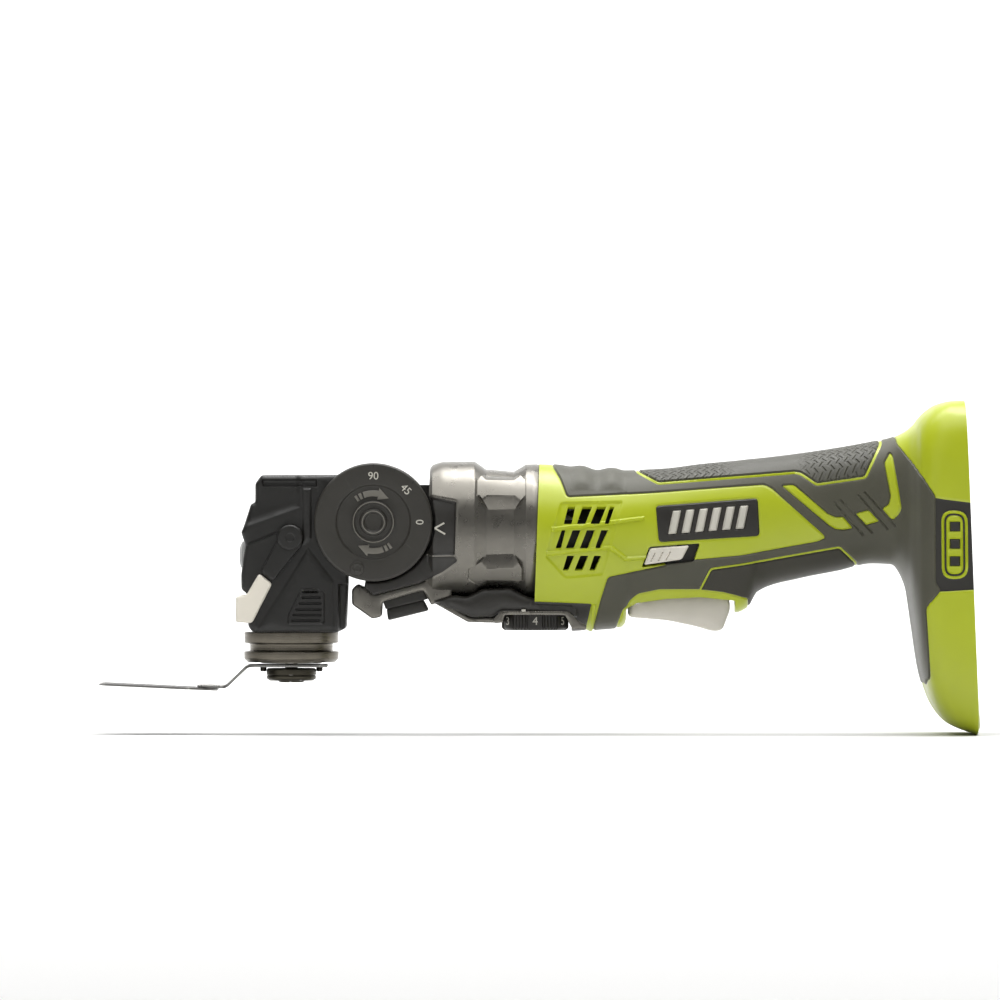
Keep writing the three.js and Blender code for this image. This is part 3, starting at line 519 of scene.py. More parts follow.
def sculpted(surface, border, regions, reliefs, spacing, seam=False, edge=0.0):
    """The surface cut up into its regions. Returns the vertices on the +Y side, the surface's normals
    there, the triangles and each triangle's region."""
    loops = [drawn_on(surface, r.outline) for r in regions]
    relief_loops = [drawn_on(surface, r.outline) for r in reliefs]

    def owner(points, openings=True):
        found = np.full(len(points), -1)
        for k, (region, loop) in enumerate(zip(regions, loops)):
            if openings or region.name:
                found[inside(points, loop)] = k
        return found

    opened = np.array([r.name is None for r in regions] + [False])
    kept, rims = [], []
    for loop in loops:
        line = segments(loop)
        middle = middle_of(line)
        aside = ASIDE * across(line)
        one, other = owner(middle + aside), owner(middle - aside)
        real = (one != other) & inside(middle, border)
        rim = opened[one] | opened[other]
        kept.append(line[real & ~rim])
        rims.append(line[real & rim])
    bounds_lines = np.vstack(kept) if kept else np.zeros((0, 4))
    rim_lines = np.vstack(rims) if rims else np.zeros((0, 4))
    soft = []
    inner = [drawn_on(surface, grown(r.outline, -r.width)) for r in reliefs if r.facet]
    for loop in relief_loops + inner:
        line = segments(loop)
        soft.append(line[inside(middle_of(line), border)])
    verts, faces = net(border, [line for line in kept + rims + soft if len(line)], spacing)
    part = owner(verts[faces].mean(1))
    own = owner(verts, openings=False)
    plateau = np.array([r.height for r in regions] + [0.0])[own]
    height = -GROOVE + (plateau + GROOVE) * smooth(distance(verts, bounds_lines) / GROOVE_WIDTH)
    height -= RIM * (1 - smooth(distance(verts, rim_lines) / GROOVE_WIDTH))
    for relief, loop in zip(reliefs, relief_loops):
        within = inside(verts, loop)
        if relief.ramp or not relief.width:
            within |= distance(verts, segments(loop)) < ON_LINE
        if relief.ramp:
            low, high = surface.drawn(relief.ramp)
            share = np.clip((verts - low) @ (high - low) / ((high - low) ** 2).sum(), 0, 1)
        elif not relief.width:
            share = np.ones(len(verts))
        else:
            share = np.clip(distance(verts, segments(loop), max(4.0, relief.width)) / relief.width, 0, 1)
            share = share if relief.facet else smooth(share)
        height[within] = np.minimum(height[within] + relief.height * share[within], relief.limit)
    if edge:
        gap = np.clip(distance(verts, segments(border)), 0, edge)
        height -= edge - np.sqrt(np.maximum(edge ** 2 - (edge - gap) ** 2, 0))
    points, normals = surface.place(verts)
    if seam:
        from_seam = np.abs(points[:, 1])
        on_seam = from_seam < 1e-6
        height = height - SEAM_DROP * (1 - smooth(from_seam / SEAM_WIDTH))
    points = points + normals * height[:, None]
    points[:, 1] = np.maximum(points[:, 1], 0.0)
    if seam:
        points[on_seam, 1] = 0
    return points, normals, faces, part


# ---- meshes -------------------------------------------------------------------------------------------
PLATE_CREASE = 40  # degrees between two faces, from which their edge is drawn sharp
TURNED_CREASE = 35
FAR_OUT = 1000  # the low face of a plate is made this far out on the +Y side and then turned over


def linked(name, data):
    """A new object in the scene."""
    made = bpy.data.objects.new(name, data)
    bpy.context.scene.collection.objects.link(made)
    return made


def made_object(name, points, faces, crease=32):
    """A smooth-shaded mesh object from points in millimetres about the pivot."""
    mesh = bpy.data.meshes.new(name)
    places = np.asarray(points, float) * MM + PIVOT
    faces = [tuple(int(i) for i in face) for face in faces]
    mesh.from_pydata(places.tolist(), [], faces)
    mesh.update()
    thing = linked(name, mesh)
    shade(thing, crease)
    return thing


def shade(thing, crease=32):
    thing.data.shade_smooth()
    thing.data.set_sharp_from_angle(angle=math.radians(crease))


def clean(thing):
    """Joins doubled points and turns every face outwards."""
    tool = bmesh.new()
    tool.from_mesh(thing.data)
    bmesh.ops.remove_doubles(tool, verts=tool.verts, dist=1e-6)
    bmesh.ops.dissolve_degenerate(tool, edges=tool.edges, dist=1e-7)
    bmesh.ops.recalc_face_normals(tool, faces=tool.faces)
    tool.to_mesh(thing.data)
    tool.free()


def settle(thing, crease=32):
    """Applies the modifiers, so that creases are found on the final mesh."""
    bpy.context.view_layer.update()
    graph = bpy.context.evaluated_depsgraph_get()
    mesh = bpy.data.meshes.new_from_object(thing.evaluated_get(graph))
    thing.modifiers.clear()
    thing.data = mesh
    shade(thing, crease)


def thicken(thing, depth):
    """Gives an open sheet a thickness, inwards."""
    solidify = thing.modifiers.new("Thickness", "SOLIDIFY")
    solidify.thickness = depth * MM
    solidify.offset = -1
    settle(thing)


def joined(name, things, crease=32):
    """Several mesh objects as one."""
    tool = bmesh.new()
    for thing in things:
        tool.from_mesh(thing.data)
    bmesh.ops.remove_doubles(tool, verts=tool.verts, dist=0.02 * MM)
    mesh = bpy.data.meshes.new(name)
    tool.to_mesh(mesh)
    tool.free()
    for thing in things:
        bpy.data.objects.remove(thing)
    made = linked(name, mesh)
    shade(made, crease)
    return made


def shell(points, normals, faces, depth):
    """A sheet of triangles made into a closed shell, with its inner face behind it along the normals."""
    count = len(points)
    behind = points - normals * depth
    behind[:, 1] = np.where(points[:, 1] * behind[:, 1] < 0, 0, behind[:, 1])
    behind[points[:, 1] == 0, 1] = 0
    edges = {(a, b) for face in faces for a, b in zip(face, np.roll(face, -1))}
    walls = [(b, a, a + count, b + count) for a, b in edges if (b, a) not in edges]
    return np.vstack([points, behind]), [*map(tuple, faces), *map(tuple, faces[:, ::-1] + count), *walls]


def skin_pieces(skin, side, regions, reliefs, spacing, base_name, depths):
    """A piece for each region of one side of a lofted body: a closed shell where depths gives its depth,
    and otherwise an open sheet."""
    border = skin.border(spacing)
    points, normals, faces, part = sculpted(skin, border, regions, reliefs, spacing, seam=True)
    points[:, 1] *= side
    normals[:, 1] *= side
    a, b, c = (points[faces[:, k]] for k in range(3))
    if (np.cross(b - a, c - a) * normals[faces[:, 0]]).sum() < 0:
        faces = faces[:, ::-1]
    made = {}
    names = np.array([r.name or "" for r in regions] + [base_name])  # a triangle in no region is part -1
    for name in dict.fromkeys(n for n in names.tolist() if n):
        chosen = faces[names[part] == name]
        if not len(chosen):
            continue
        used, index = np.unique(chosen, return_inverse=True)
        sheet = points[used], index.reshape(-1, 3)
        if name in depths:
            sheet = shell(sheet[0], normals[used], sheet[1], depths[name])
        made[name] = made_object(name, *sheet)
    return made


def slab(name, outline, low, high, low_edge=0.8, high_edge=0.8, reliefs=(), spacing=2.2, corner=0.8, side=1):
    """A plate with a side outline, from one Y to another, with round edges and optional relief on
    its high face."""
    border = resampled(rounded(outline, corner) if corner else outline, STEP)
    above, _, upper, _ = sculpted(Flat(high), border, [], reliefs, spacing, edge=high_edge)
    below, _, under, _ = sculpted(Flat(FAR_OUT - low), border, [], [], spacing, edge=low_edge)
    below[:, 1] = FAR_OUT - below[:, 1]
    points = np.vstack([above, below])
    points[:, 1] *= side
    thing = made_object(name, points, np.vstack([upper, under + len(above)]), PLATE_CREASE)
    tool = bmesh.new()
    tool.from_mesh(thing.data)
    bmesh.ops.bridge_loops(tool, edges=[e for e in tool.edges if e.is_boundary])
    bmesh.ops.recalc_face_normals(tool, faces=tool.faces)
    tool.to_mesh(thing.data)
    tool.free()
    shade(thing, PLATE_CREASE)
    return thing


def turned(name, profile, centre=(0, 0, 0), axis="z", sides=96, corner=0.25, side=1, wave=None):
    """A turned piece about an axis, from radius and height. A profile starts and ends on the axis or
    closes on itself. A wave changes the radius with the angle."""
    closed = profile[0][0] > 1e-6
    line = rounded(profile, corner, closed=closed)
    points, faces = [], []
    count = len(line)
    widest = max(radius for radius, _ in line)
    for radius, height in line:
        for k in range(sides):
            angle = 2 * math.pi * k / sides
            reach = radius - (wave(angle) if wave and radius > 0.9 * widest else 0)
            a, b = reach * math.cos(angle), reach * math.sin(angle)
            points.append({"z": (a, b, height), "y": (a, height * side, b), "x": (height, a, b)}[axis])
    for i in range(count if closed else count - 1):
        for k in range(sides):
            a, b = i * sides + k, i * sides + (k + 1) % sides
            c, d = ((i + 1) % count) * sides + (k + 1) % sides, ((i + 1) % count) * sides + k
            faces.append((a, b, c, d))
    thing = made_object(name, np.array(points) + np.array(centre), faces)
    clean(thing)
    shade(thing, TURNED_CREASE)
    return thing


def carve(thing, *tools):
    """Cuts simple boxes or bars out of a closed piece."""
    for tool in tools:
        modifier = thing.modifiers.new("Carve", "BOOLEAN")
        modifier.operation, modifier.object, modifier.solver = "DIFFERENCE", tool, "EXACT"
    settle(thing, TURNED_CREASE)
    for tool in tools:
        bpy.data.objects.remove(tool)


def block(x, y, z):
    """A plain box, only used to cut."""
    points = [(a, b, c) for a in x for b in y for c in z]
    faces = [(0, 1, 3, 2), (4, 6, 7, 5), (0, 4, 5, 1), (2, 3, 7, 6), (0, 2, 6, 4), (1, 5, 7, 3)]
    thing = made_object("cutter", points, faces)
    clean(thing)
    return thing


# ---- materials ----------------------------------------------------------------------------------------
def srgb(r, g, b):
    """A colour given as 0 to 255, as linear light."""
    def linear(c):
        c /= 255
        return c / 12.92 if c <= 0.04045 else ((c + 0.055) / 1.055) ** 2.4
    return linear(r), linear(g), linear(b), 1.0


class Nodes:
    """A small helper that adds and links shader nodes."""

    def __init__(self, name):
        self.material = bpy.data.materials.new(name)
        self.material.use_nodes = True
        self.tree = self.material.node_tree
        self.shader = self.tree.nodes["Principled BSDF"]
        self.place = self.add("ShaderNodeTexCoord").outputs["Object"]

    def add(self, kind, inputs=(), **settings):
        node = self.tree.nodes.new(kind)
        for key, value in settings.items():
            setattr(node, key, value)
        for key, value in dict(inputs).items():
            if isinstance(value, bpy.types.NodeSocket):
                self.tree.links.new(value, node.inputs[key])
            else:
                node.inputs[key].default_value = value
        return node

    def noise(self, scale, detail=3, rough=0.55):
        inputs = {"Vector": self.place, "Scale": scale, "Detail": detail, "Roughness": rough}
        return self.add("ShaderNodeTexNoise", inputs).outputs["Fac"]

    def span(self, value, low, high, start=0.0, end=1.0):
        """The value's place between low and high, as a value between start and end."""
        inputs = {"Value": value, "From Min": low, "From Max": high, "To Min": start, "To Max": end}
        return self.add("ShaderNodeMapRange", inputs).outputs["Result"]

    def mixed(self, share, a, b):
        node = self.add("ShaderNodeMix", data_type="RGBA")
        for socket, value in (("Factor", share), ("A", a), ("B", b)):
            target = next(s for s in node.inputs if s.name == socket and s.enabled)
            if isinstance(value, bpy.types.NodeSocket):
                self.tree.links.new(value, target)
            else:
                target.default_value = value
        return next(s for s in node.outputs if s.enabled)

    def maths(self, kind, a, b):
        return self.add("ShaderNodeMath", {0: a, 1: b}, operation=kind).outputs[0]

    def zigzag(self, value):
        """A wave between 0 and a half, once for each whole number."""
        return self.maths("ABSOLUTE", self.maths("SUBTRACT", self.maths("FRACT", value, 0), 0.5), 0)

    def edges(self, low, high):
        """Where the surface is sharply convex: the mask for worn edges and for painted highlights along
        edges.
        """
        point = self.add("ShaderNodeNewGeometry").outputs["Pointiness"]
        return self.span(point, low, high)

    def bump(self, height, depth):
        node = self.add("ShaderNodeBump", {"Height": height, "Distance": depth * MM, "Strength": 1.0})
        self.tree.links.new(node.outputs["Normal"], self.shader.inputs["Normal"])

    def use(self, **sockets):
        for key, value in sockets.items():
            socket = self.shader.inputs[key.replace("_", " ")]
            if isinstance(value, bpy.types.NodeSocket):
                self.tree.links.new(value, socket)
            else:
                socket.default_value = value
        return self.material


def shade_of(colour, factor):
    return tuple(c * factor for c in colour[:3]) + (1.0,)


def plastic(name, colour, rough, grain=0.02, wear_and_highlight=0.35, coat=0.0, mottled=0.06):
    """Moulded plastic: spark-eroded grain, slight mottling and paler edges, partly worn scuffs and partly
    painted highlights.
    """
    n = Nodes(name)
    clouds = n.noise(60, 2)
    fine = n.noise(1000 / 0.35, 2, 0.6)
    tinted = n.mixed(n.span(clouds, 0.3, 0.7), shade_of(colour, 1 - mottled), shade_of(colour, 1 + mottled))
    # Paler convex edges stand for scuffs and for painted highlights along the edges.
    scuffs_and_highlights = n.maths("MULTIPLY", n.edges(0.52, 0.62), n.span(n.noise(700, 3), 0.35, 0.65))
    pale = tuple(min(1.0, c * 1.5 + 0.05) for c in colour[:3]) + (1.0,)
    worn_and_highlit = n.mixed(n.maths("MULTIPLY", scuffs_and_highlights, wear_and_highlight), tinted, pale)
    n.bump(fine, grain)
    return n.use(Base_Color=worn_and_highlit, Roughness=n.span(n.noise(240, 3), 0.3, 0.7, rough - 0.05, rough + 0.06),
                 Coat_Weight=coat, Coat_Roughness=0.25, Specular_IOR_Level=0.5)


def rubber(name, colour, rough, grain=0.05, tread=None):
    """Soft overmould: a fine matt grain, a sheen, paler convex edges that are partly dust and partly painted
    highlight, and, on the pad, a raised chevron tread. The tread is given by where it starts and ends along
    the body, in metres, and by the size of a chevron."""
    n = Nodes(name)
    clouds = n.noise(45, 3)
    fine = n.noise(3200, 2, 0.7)
    tinted = n.mixed(n.span(clouds, 0.3, 0.7), shade_of(colour, 0.9), shade_of(colour, 1.1))
    # Paler convex edges stand for dust and for painted highlights along the edges.
    dust_and_sheen = n.mixed(n.maths("MULTIPLY", n.edges(0.51, 0.6), 0.35), tinted, shade_of(colour, 1.9))
    height = fine
    if tread:
        start, end, size = tread
        split = n.add("ShaderNodeSeparateXYZ", {"Vector": n.place})
        x, y = split.outputs["X"], split.outputs["Y"]
        slanted = n.maths("ADD", n.maths("DIVIDE", x, size * MM), n.zigzag(n.maths("DIVIDE", y, size * MM)))
        bars = n.span(n.zigzag(slanted), 0.1, 0.28)
        fade = n.maths("MAXIMUM", n.span(x, end[0], end[1]), n.span(x, start[1], start[0]))
        height = n.maths("ADD", n.maths("MULTIPLY", bars, n.maths("MULTIPLY", fade, 8.0)), fine)
    n.bump(height, grain)
    return n.use(Base_Color=dust_and_sheen, Roughness=n.span(clouds, 0.3, 0.7, rough - 0.05, rough + 0.05),
                 Sheen_Weight=0.25, Sheen_Roughness=0.4, Specular_IOR_Level=0.35)


def casting(name, colour, rough, metal):
    """Painted die casting: fine orange peel, slight streaks and rubbed edges."""
    n = Nodes(name)
    peel = n.noise(900, 2, 0.5)
    clouds = n.noise(70, 3)
    tinted = n.mixed(n.span(clouds, 0.3, 0.7), shade_of(colour, 0.93), shade_of(colour, 1.05))
    rubbed = n.mixed(n.maths("MULTIPLY", n.edges(0.6, 0.75), 0.12), tinted, (0.7, 0.69, 0.66, 1))
    n.bump(peel, 0.006)
    return n.use(Base_Color=rubbed, Metallic=metal,
                 Roughness=n.span(n.noise(300, 4), 0.3, 0.7, rough - 0.06, rough + 0.08))


def turned_steel(name, colour, rough=0.25, axis="Z", lines=2600):
    """Machined steel: fine tool marks around the axis, light stains and bright edges painted on as
    highlights.
    """
    n = Nodes(name)
    scale = {"X": (lines, 12, 12), "Y": (12, lines, 12), "Z": (12, 12, lines)}[axis]
    stretched = n.add("ShaderNodeMapping", {"Vector": n.place, "Scale": scale}).outputs["Vector"]
    marks = n.add("ShaderNodeTexNoise", {"Vector": stretched, "Scale": 1.0, "Detail": 2}).outputs["Fac"]
    stains = n.noise(160, 4, 0.6)
    tinted = n.mixed(n.span(stains, 0.35, 0.7), shade_of(colour, 1.05), shade_of(colour, 0.86))
    # Paler convex edges are painted highlights.
    bright = n.mixed(n.maths("MULTIPLY", n.edges(0.53, 0.62), 0.6), tinted, (0.92, 0.91, 0.88, 1))
    n.bump(marks, 0.012)
    sheen = n.span(marks, 0.2, 0.8, rough - 0.07, rough + 0.13)
    return n.use(Base_Color=bright, Metallic=1.0, Roughness=sheen)


def clear_lens(name):
    """Frosted clear plastic over the work light."""
    n = Nodes(name)
    n.bump(n.noise(1400, 2), 0.03)
    milky = n.mixed(n.span(n.noise(120, 3), 0.3, 0.7), (0.72, 0.73, 0.72, 1), (0.92, 0.92, 0.9, 1))
    return n.use(Base_Color=milky, Roughness=n.span(n.noise(400), 0.3, 0.7, 0.12, 0.28),
                 Transmission_Weight=0.55, IOR=1.46)


def circuit_board(name):
    """Green solder mask with copper tracks."""
    n = Nodes(name)
    tracks = n.add("ShaderNodeTexVoronoi", {"Vector": n.place, "Scale": 420.0}, distance="MANHATTAN")
    near = n.span(tracks.outputs["Distance"], 0.2, 0.26)
    colour = n.mixed(near, (0.55, 0.33, 0.12, 1), (0.02, 0.11, 0.04, 1))
    n.bump(near, 0.04)
    return n.use(Base_Color=colour, Roughness=0.35)


GREEN = srgb(170, 182, 28)
MATERIALS = {
    "green": plastic("Green_Moulding", GREEN, 0.36, grain=0.012, wear_and_highlight=0.25, coat=0.12, mottled=0.03),
    "rubber": rubber("Grip_Rubber", srgb(74, 73, 61), 0.52),
    # The lower panel is the grip rubber painted darker: painted shade low on the handle.
    "panel": rubber("Grip_Rubber_Painted_Shade", srgb(54, 52, 44), 0.6),
    "pad": rubber("Pad_Rubber", srgb(68, 67, 58), 0.5, grain=0.06, tread=((0.06, 0.07), (0.09, 0.098), 2.9)),
    "black": plastic("Black_Nylon", srgb(38, 36, 32), 0.44, grain=0.03, wear_and_highlight=0.3),
    "head": plastic("Head_Nylon", srgb(20, 19, 16), 0.46, grain=0.022, wear_and_highlight=0.3),
    "dial": plastic("Dial_Nylon", srgb(48, 46, 41), 0.42, grain=0.03, wear_and_highlight=0.25),
    "mark": plastic("Printed_Grey", srgb(196, 193, 182), 0.55, grain=0.01, wear_and_highlight=0.0),
    "arrow": plastic("Raised_Grey", srgb(112, 109, 101), 0.5, grain=0.02, wear_and_highlight=0.2),
    "pale": plastic("Pale_Plastic", srgb(210, 205, 194), 0.42, grain=0.015, wear_and_highlight=0.2, mottled=0.04),
    # The nose guard's plastic is a brighter copy of the pale plastic: painted light on the nose, which faces
    # up into the light.
    "light": plastic("Nose_Plastic_Painted_Light", srgb(228, 222, 208), 0.42, grain=0.015, wear_and_highlight=0.2, mottled=0.04),
    "silver": casting("Silver_Casting", srgb(118, 115, 108), 0.3, 0.75),
    "steel": turned_steel("Turned_Steel", srgb(112, 107, 97), 0.26),
    "shaft": turned_steel("Ground_Shaft", srgb(170, 166, 156), 0.22, "X"),
    "dark_steel": turned_steel("Blackened_Steel", srgb(74, 71, 62), 0.34, "X", 900),
    "blade": turned_steel("Blade_Steel", srgb(46, 44, 40), 0.38, "X", 900),
    "magnet": turned_steel("Ferrite", srgb(52, 52, 54), 0.55, "X", 400),
    "lens": clear_lens("Frosted_Lens"),
    "copper": turned_steel("Copper", srgb(196, 122, 74), 0.3, "X", 900),
    "board": circuit_board("Circuit_Board"),
}


def dressed(thing, material, slot, body, *nodes):
    """Gives a piece its material and its body, and hides the CAD nodes it stands for. The slot is not used.
    """
    thing.data.materials.clear()
    thing.data.materials.append(MATERIALS[material])
    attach(thing, body)
    if nodes:
        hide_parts(*nodes)
    return thing


# ---- housing ------------------------------------------------------------------------------------------
def slot_outlines():
    for low, high, slots in VENT_ROWS:
        for a, b, c, d in slots:
            yield [(a, low), (b, low), (d, high), (c, high)]


def housing_layout(side):
    """Regions and reliefs of one half of the housing, from the side."""
    regions = [
        Region("chin_side", CHIN_SIDE, -0.1, 0.6),
        Region("foot_panel", FOOT_PANEL, -0.35, 0.3),
        Region("side_grip", SIDE_GRIP, 0.25, 1.2),
        Region("panel_line", grown(LOWER_PANEL, 0.65), 0.1, 1.0),
        Region("lower_panel", LOWER_PANEL, 0.1, 1.0),
        Region("housing", TRIGGER_BAND, 0.1, 0.8),
        Region(None, TRIGGER_GAP, 0, 0.6),
        Region("top_stripe", grown(TOP_PAD, 0.85), 0.0, 1.0),
        Region("top_pad", TOP_PAD, 0.3, 1.0),
        Region("zigzag", ZIGZAG, 0.3, 0.9),
        Region("zigzag", SQUARE, 0.3, 0.5),
        Region("zigzag", LIMB, 0.3, 0.9),
        Region("name_plate", NAME_PLATE, 0.15, 1.4),
        Region("badge", pill(FOOT_BADGE), 0.45, 0),
        Region("badge_bed", pill(grown(FOOT_BADGE, -1.0)), 0.0, 0),
        Region("badge", pill(grown(FOOT_BADGE, -1.7)), 0.35, 0),
        Region(None, WHEEL_CUT, 0, 0.5),
    ]
    regions += [Region("name_motif", bar, 0.5, 0.4) for bar in motif_bars()]
    regions += [Region("badge_bed", bar, 0.1, 0.3) for bar in badge_bars()]
    regions += [Region(None, outline, 0, 0.35) for outline in slot_outlines()]
    reliefs = [
        Relief(VENT_WINDOW, -0.5, 0.9, 1.2),
        Relief(UPPER_RIB, 0.8, 0.45, 0.3),
        Relief(LOWER_RIB, 0.8, 0.45, 0.3),
        *(Relief(wave, 0.9, 4.6, 0) for wave in FRONT_WAVES),
        Relief(STRIPE, 0.5, 0.6, 0.2),
    ]
    for a, b in SLASHES:
        reliefs.append(Relief(strip(a, b, 1.1), -0.55, 0.5, 0.2))
    if side < 0:
        regions.append(Region(None, LOCK_SLOT, 0, 0.8))
    else:
        regions += [Region(None, circle(3.4, place, 40), 0, 0) for place in SCREWS]
    return regions, reliefs


def motif_bars():
    """Slanted bars across the name plate, in place of a name."""
    pitch, lean = 4.7, 0.075
    for k in range(6):
        left, rise = 102.6 + pitch * k, lean * pitch * k
        corners = ((0, -4.2), (2.9, -4.0), (4.6, 4.2), (1.7, 4.0))
        yield [(left + x, z + rise) for x, z in corners]


def badge_bars():
    """Three bars down the foot badge, like a charge gauge."""
    for k in range(3):
        top = 0.2 - 6 * k
        yield [(200, top), (203.6, top), (203.6, top - 3.4), (200, top - 3.4)]


def build_housing():
    skin = Skin(HOUSING)
    look = {
        "housing": ("green", "green_housing", 2.2), "side_grip": ("rubber", "grip_rubber", 1.3),
        # The lower panel takes the darker copy of the grip rubber, as painted shade.
        "panel_line": ("green", "green_housing", 1.0), "lower_panel": ("panel", "grip_rubber", 1.3),
        "top_stripe": ("green", "green_housing", 1.3),
        "top_pad": ("pad", "pad_rubber", 1.3), "zigzag": ("green", "green_housing", 1.0),
        "name_plate": ("black", "plate_black", 1.0), "foot_panel": ("black", "plate_black", 1.2),
        "badge": ("green", "green_housing", 1.0), "badge_bed": ("black", "plate_black", 0.8),
        "name_motif": ("mark", "pale_plastic", 0.8), "chin_side": ("black", "black_plastic", 1.6),
    }
    nodes = {
        "housing": "housing", "side_grip": "side_grip", "name_plate": "name_plate", "badge": "foot_badge",
    }
    depths = {name: depth for name, (_, _, depth) in look.items() if name != "top_pad"}
    pads = []
    for word, side in SIDES.items():
        regions, reliefs = housing_layout(side)
        made = skin_pieces(skin, side, regions, reliefs, 1.5, "housing", depths)
        for name, thing in made.items():
            if name == "top_pad":
                pads.append(thing)
                continue
            material, slot, _ = look[name]
            thing.name = f"{name}_{word}_moulding"
            stands_for = [f"{nodes[name]}_{word}"] if name in nodes else []
            dressed(thing, material, slot, "handle", *stands_for)
    pad = joined("top_pad_moulding", pads)
    thicken(pad, look["top_pad"][2])
    dressed(pad, "pad", "pad_rubber", "handle", "top_grip_pad")


# ---- gear case, latch and chin ------------------------------------------------------------------------
def build_gear_case():
    """The cast gear housing with the dial's panels let into it, and the pointer mark beside the dial."""
    skin = Skin(GEARCASE)
    regions = [
        Region("under_panel", UNDER_PANEL, -0.6, 0.8),
        Region("pointer_panel", POINTER_PANEL, -1.2, 0.8),
        Region(None, circle(DIAL_RADIUS + 0.8), 0, 0),
    ]
    reliefs = [Relief(WAIST, -2.7, 4.2, 0, facet=True),
               Relief([(10, 40), (20.5, 40), (20.5, -40), (10, -40)], -1.5, 2.0, 0, facet=True)]
    reliefs += [Relief(bridge, 2.5, 0, 0, limit=-0.2) for bridge in BRIDGES]
    reliefs += [Relief(outline, 2.5, corner=0, ramp=line, limit=-0.2) for outline, line in RAMPS]
    depths = dict.fromkeys(("gear_case", "pointer_panel", "under_panel"), 1.8)
    for word, side in SIDES.items():
        for name, thing in skin_pieces(skin, side, regions, reliefs, 1.3, "gear_case", depths).items():
            thing.name = f"{name}_{word}"
            if name == "gear_case":
                dressed(thing, "silver", "silver_casting", "handle", "gear_housing")
            else:
                dressed(thing, "black", "black_plastic", "handle")
        limbs = [slab("limb", strip((21.4, -2.1), end, 0.6), 22, 23.4, 0.05, 0.1, corner=0, side=side)
                 for end in ((25, -4.2), (24.7, -0.3))]
        dressed(joined(f"pointer_mark_{word}", limbs), "mark", "pale_plastic", "handle")


def build_latch():
    """The bracket and button that release the head, and the dark neck behind them. The jaw is hollowed
    for the spring."""
    slope = Relief([(-20, -10), (-2.4, -10), (-2.4, -50), (-20, -50)], -2.2, 5.2, 0, facet=True)
    jaw = slab("latch_jaw", LATCH_BRACKET, -13.6, 13.6, 0.9, 0.9, reliefs=[slope], corner=0.9)
    below = [(19.8, -10), (22.6, -18.4), (16, -21.3), (-0.1, -25.5), (-3.2, -23)]
    web = slab("neck_web", arc(20.1, -98, -26, sides=40) + below, -12.2, 12.2, 0.1, 0.1, corner=0.2)
    dressed(web, "black", "black_plastic", "handle")
    curtain = sector(19.5, 20.45, -28, 36, sides=40)
    shroud = slab("neck_shroud", curtain, -11.9, 11.9, 0.2, 0.2, corner=0)
    dressed(shroud, "black", "black_plastic", "handle")
    wedge_line = arc(20.95, -98, -26, sides=40) + below
    for word, side in SIDES.items():
        wedge = slab(f"neck_wedge_{word}", wedge_line, 12.3, 18.8, 0.1, 0.8, corner=0.2, side=side)
        dressed(wedge, "black", "black_plastic", "handle")
        liner = slab(f"release_liner_{word}", RELEASE_LINER, 9.2, 10.2, 0.1, 0.1, corner=0.3, side=side)
        dressed(liner, "black", "black_plastic", "handle")
    carve(jaw, block((9.2, 14.3), (-2.5, 2.5), (-34, -22.9)))
    dressed(jaw, "silver", "silver_casting", "handle", "latch_bracket")
    grips = [Relief(strip((6.2 + 3 * k, -28.6 + 0.5 * k), (6.8 + 3 * k, -33 + 0.5 * k), 0.9), -0.4, 0.4, 0.2)
             for k in range(4)]
    button = slab("release_push", RELEASE_BUTTON, -8.8, 8.8, 1.0, 1.0, reliefs=grips, corner=0.9)
    dressed(button, "black", "black_plastic", "release", "release_button")


def build_chin():
    """The dark cover below the gear housing, its silver trim, and the frame of the speed wheel."""
    chin = slab("chin_moulding", CHIN, -17.2, 17.2, 2.4, 2.4, corner=1.0)
    dressed(chin, "black", "black_plastic", "handle", "chin_cover")
    trim = slab("belly_strip", BELLY_TRIM, -14.6, 14.6, 1.0, 1.0, corner=0.8)
    dressed(trim, "silver", "silver_casting", "handle", "belly_trim")
    for word, side in SIDES.items():
        rail = slab(f"wheel_rail_{word}", WHEEL_RAIL, 16.2, 17.8, 0.3, 0.4, corner=0.5, side=side)
        dressed(rail, "silver", "silver_casting", "handle")
        index = slab(f"wheel_index_{word}", WHEEL_INDEX, 16.8, 18.1, 0.05, 0.15, corner=0.1, side=side)
        dressed(index, "mark", "pale_plastic", "handle")


def lettering(name, items, place):
    """Numerals as one mesh. Each item is a text, its height and an angle, and place(point, angle) says
    where a point of the text goes."""
    tool = bmesh.new()
    for text, size, angle in items:
        curve = bpy.data.curves.new(name, "FONT")
        curve.body, curve.size, curve.extrude = text, size * 1.4, 0.12
        curve.align_x, curve.align_y = "CENTER", "CENTER"
        holder = linked(name, curve)
        bpy.context.view_layer.update()
        graph = bpy.context.evaluated_depsgraph_get()
        mesh = bpy.data.meshes.new_from_object(holder.evaluated_get(graph))
        for vertex in mesh.vertices:
            vertex.co = Vector(place(vertex.co, angle)) * MM + Vector(PIVOT)
        tool.from_mesh(mesh)
        bpy.data.objects.remove(holder)
    bmesh.ops.remove_doubles(tool, verts=tool.verts, dist=1e-6)
    bmesh.ops.recalc_face_normals(tool, faces=tool.faces)
    mesh = bpy.data.meshes.new(name)
    tool.to_mesh(mesh)
    tool.free()
    return linked(name, mesh)


# Where each numeral stands round the speed wheel. At rest the 4 is to the front.
NUMERAL_SPACING = math.radians(55)
WHEEL_NUMERALS = {text: (number - 4) * NUMERAL_SPACING for number, text in enumerate("123456", start=1)}


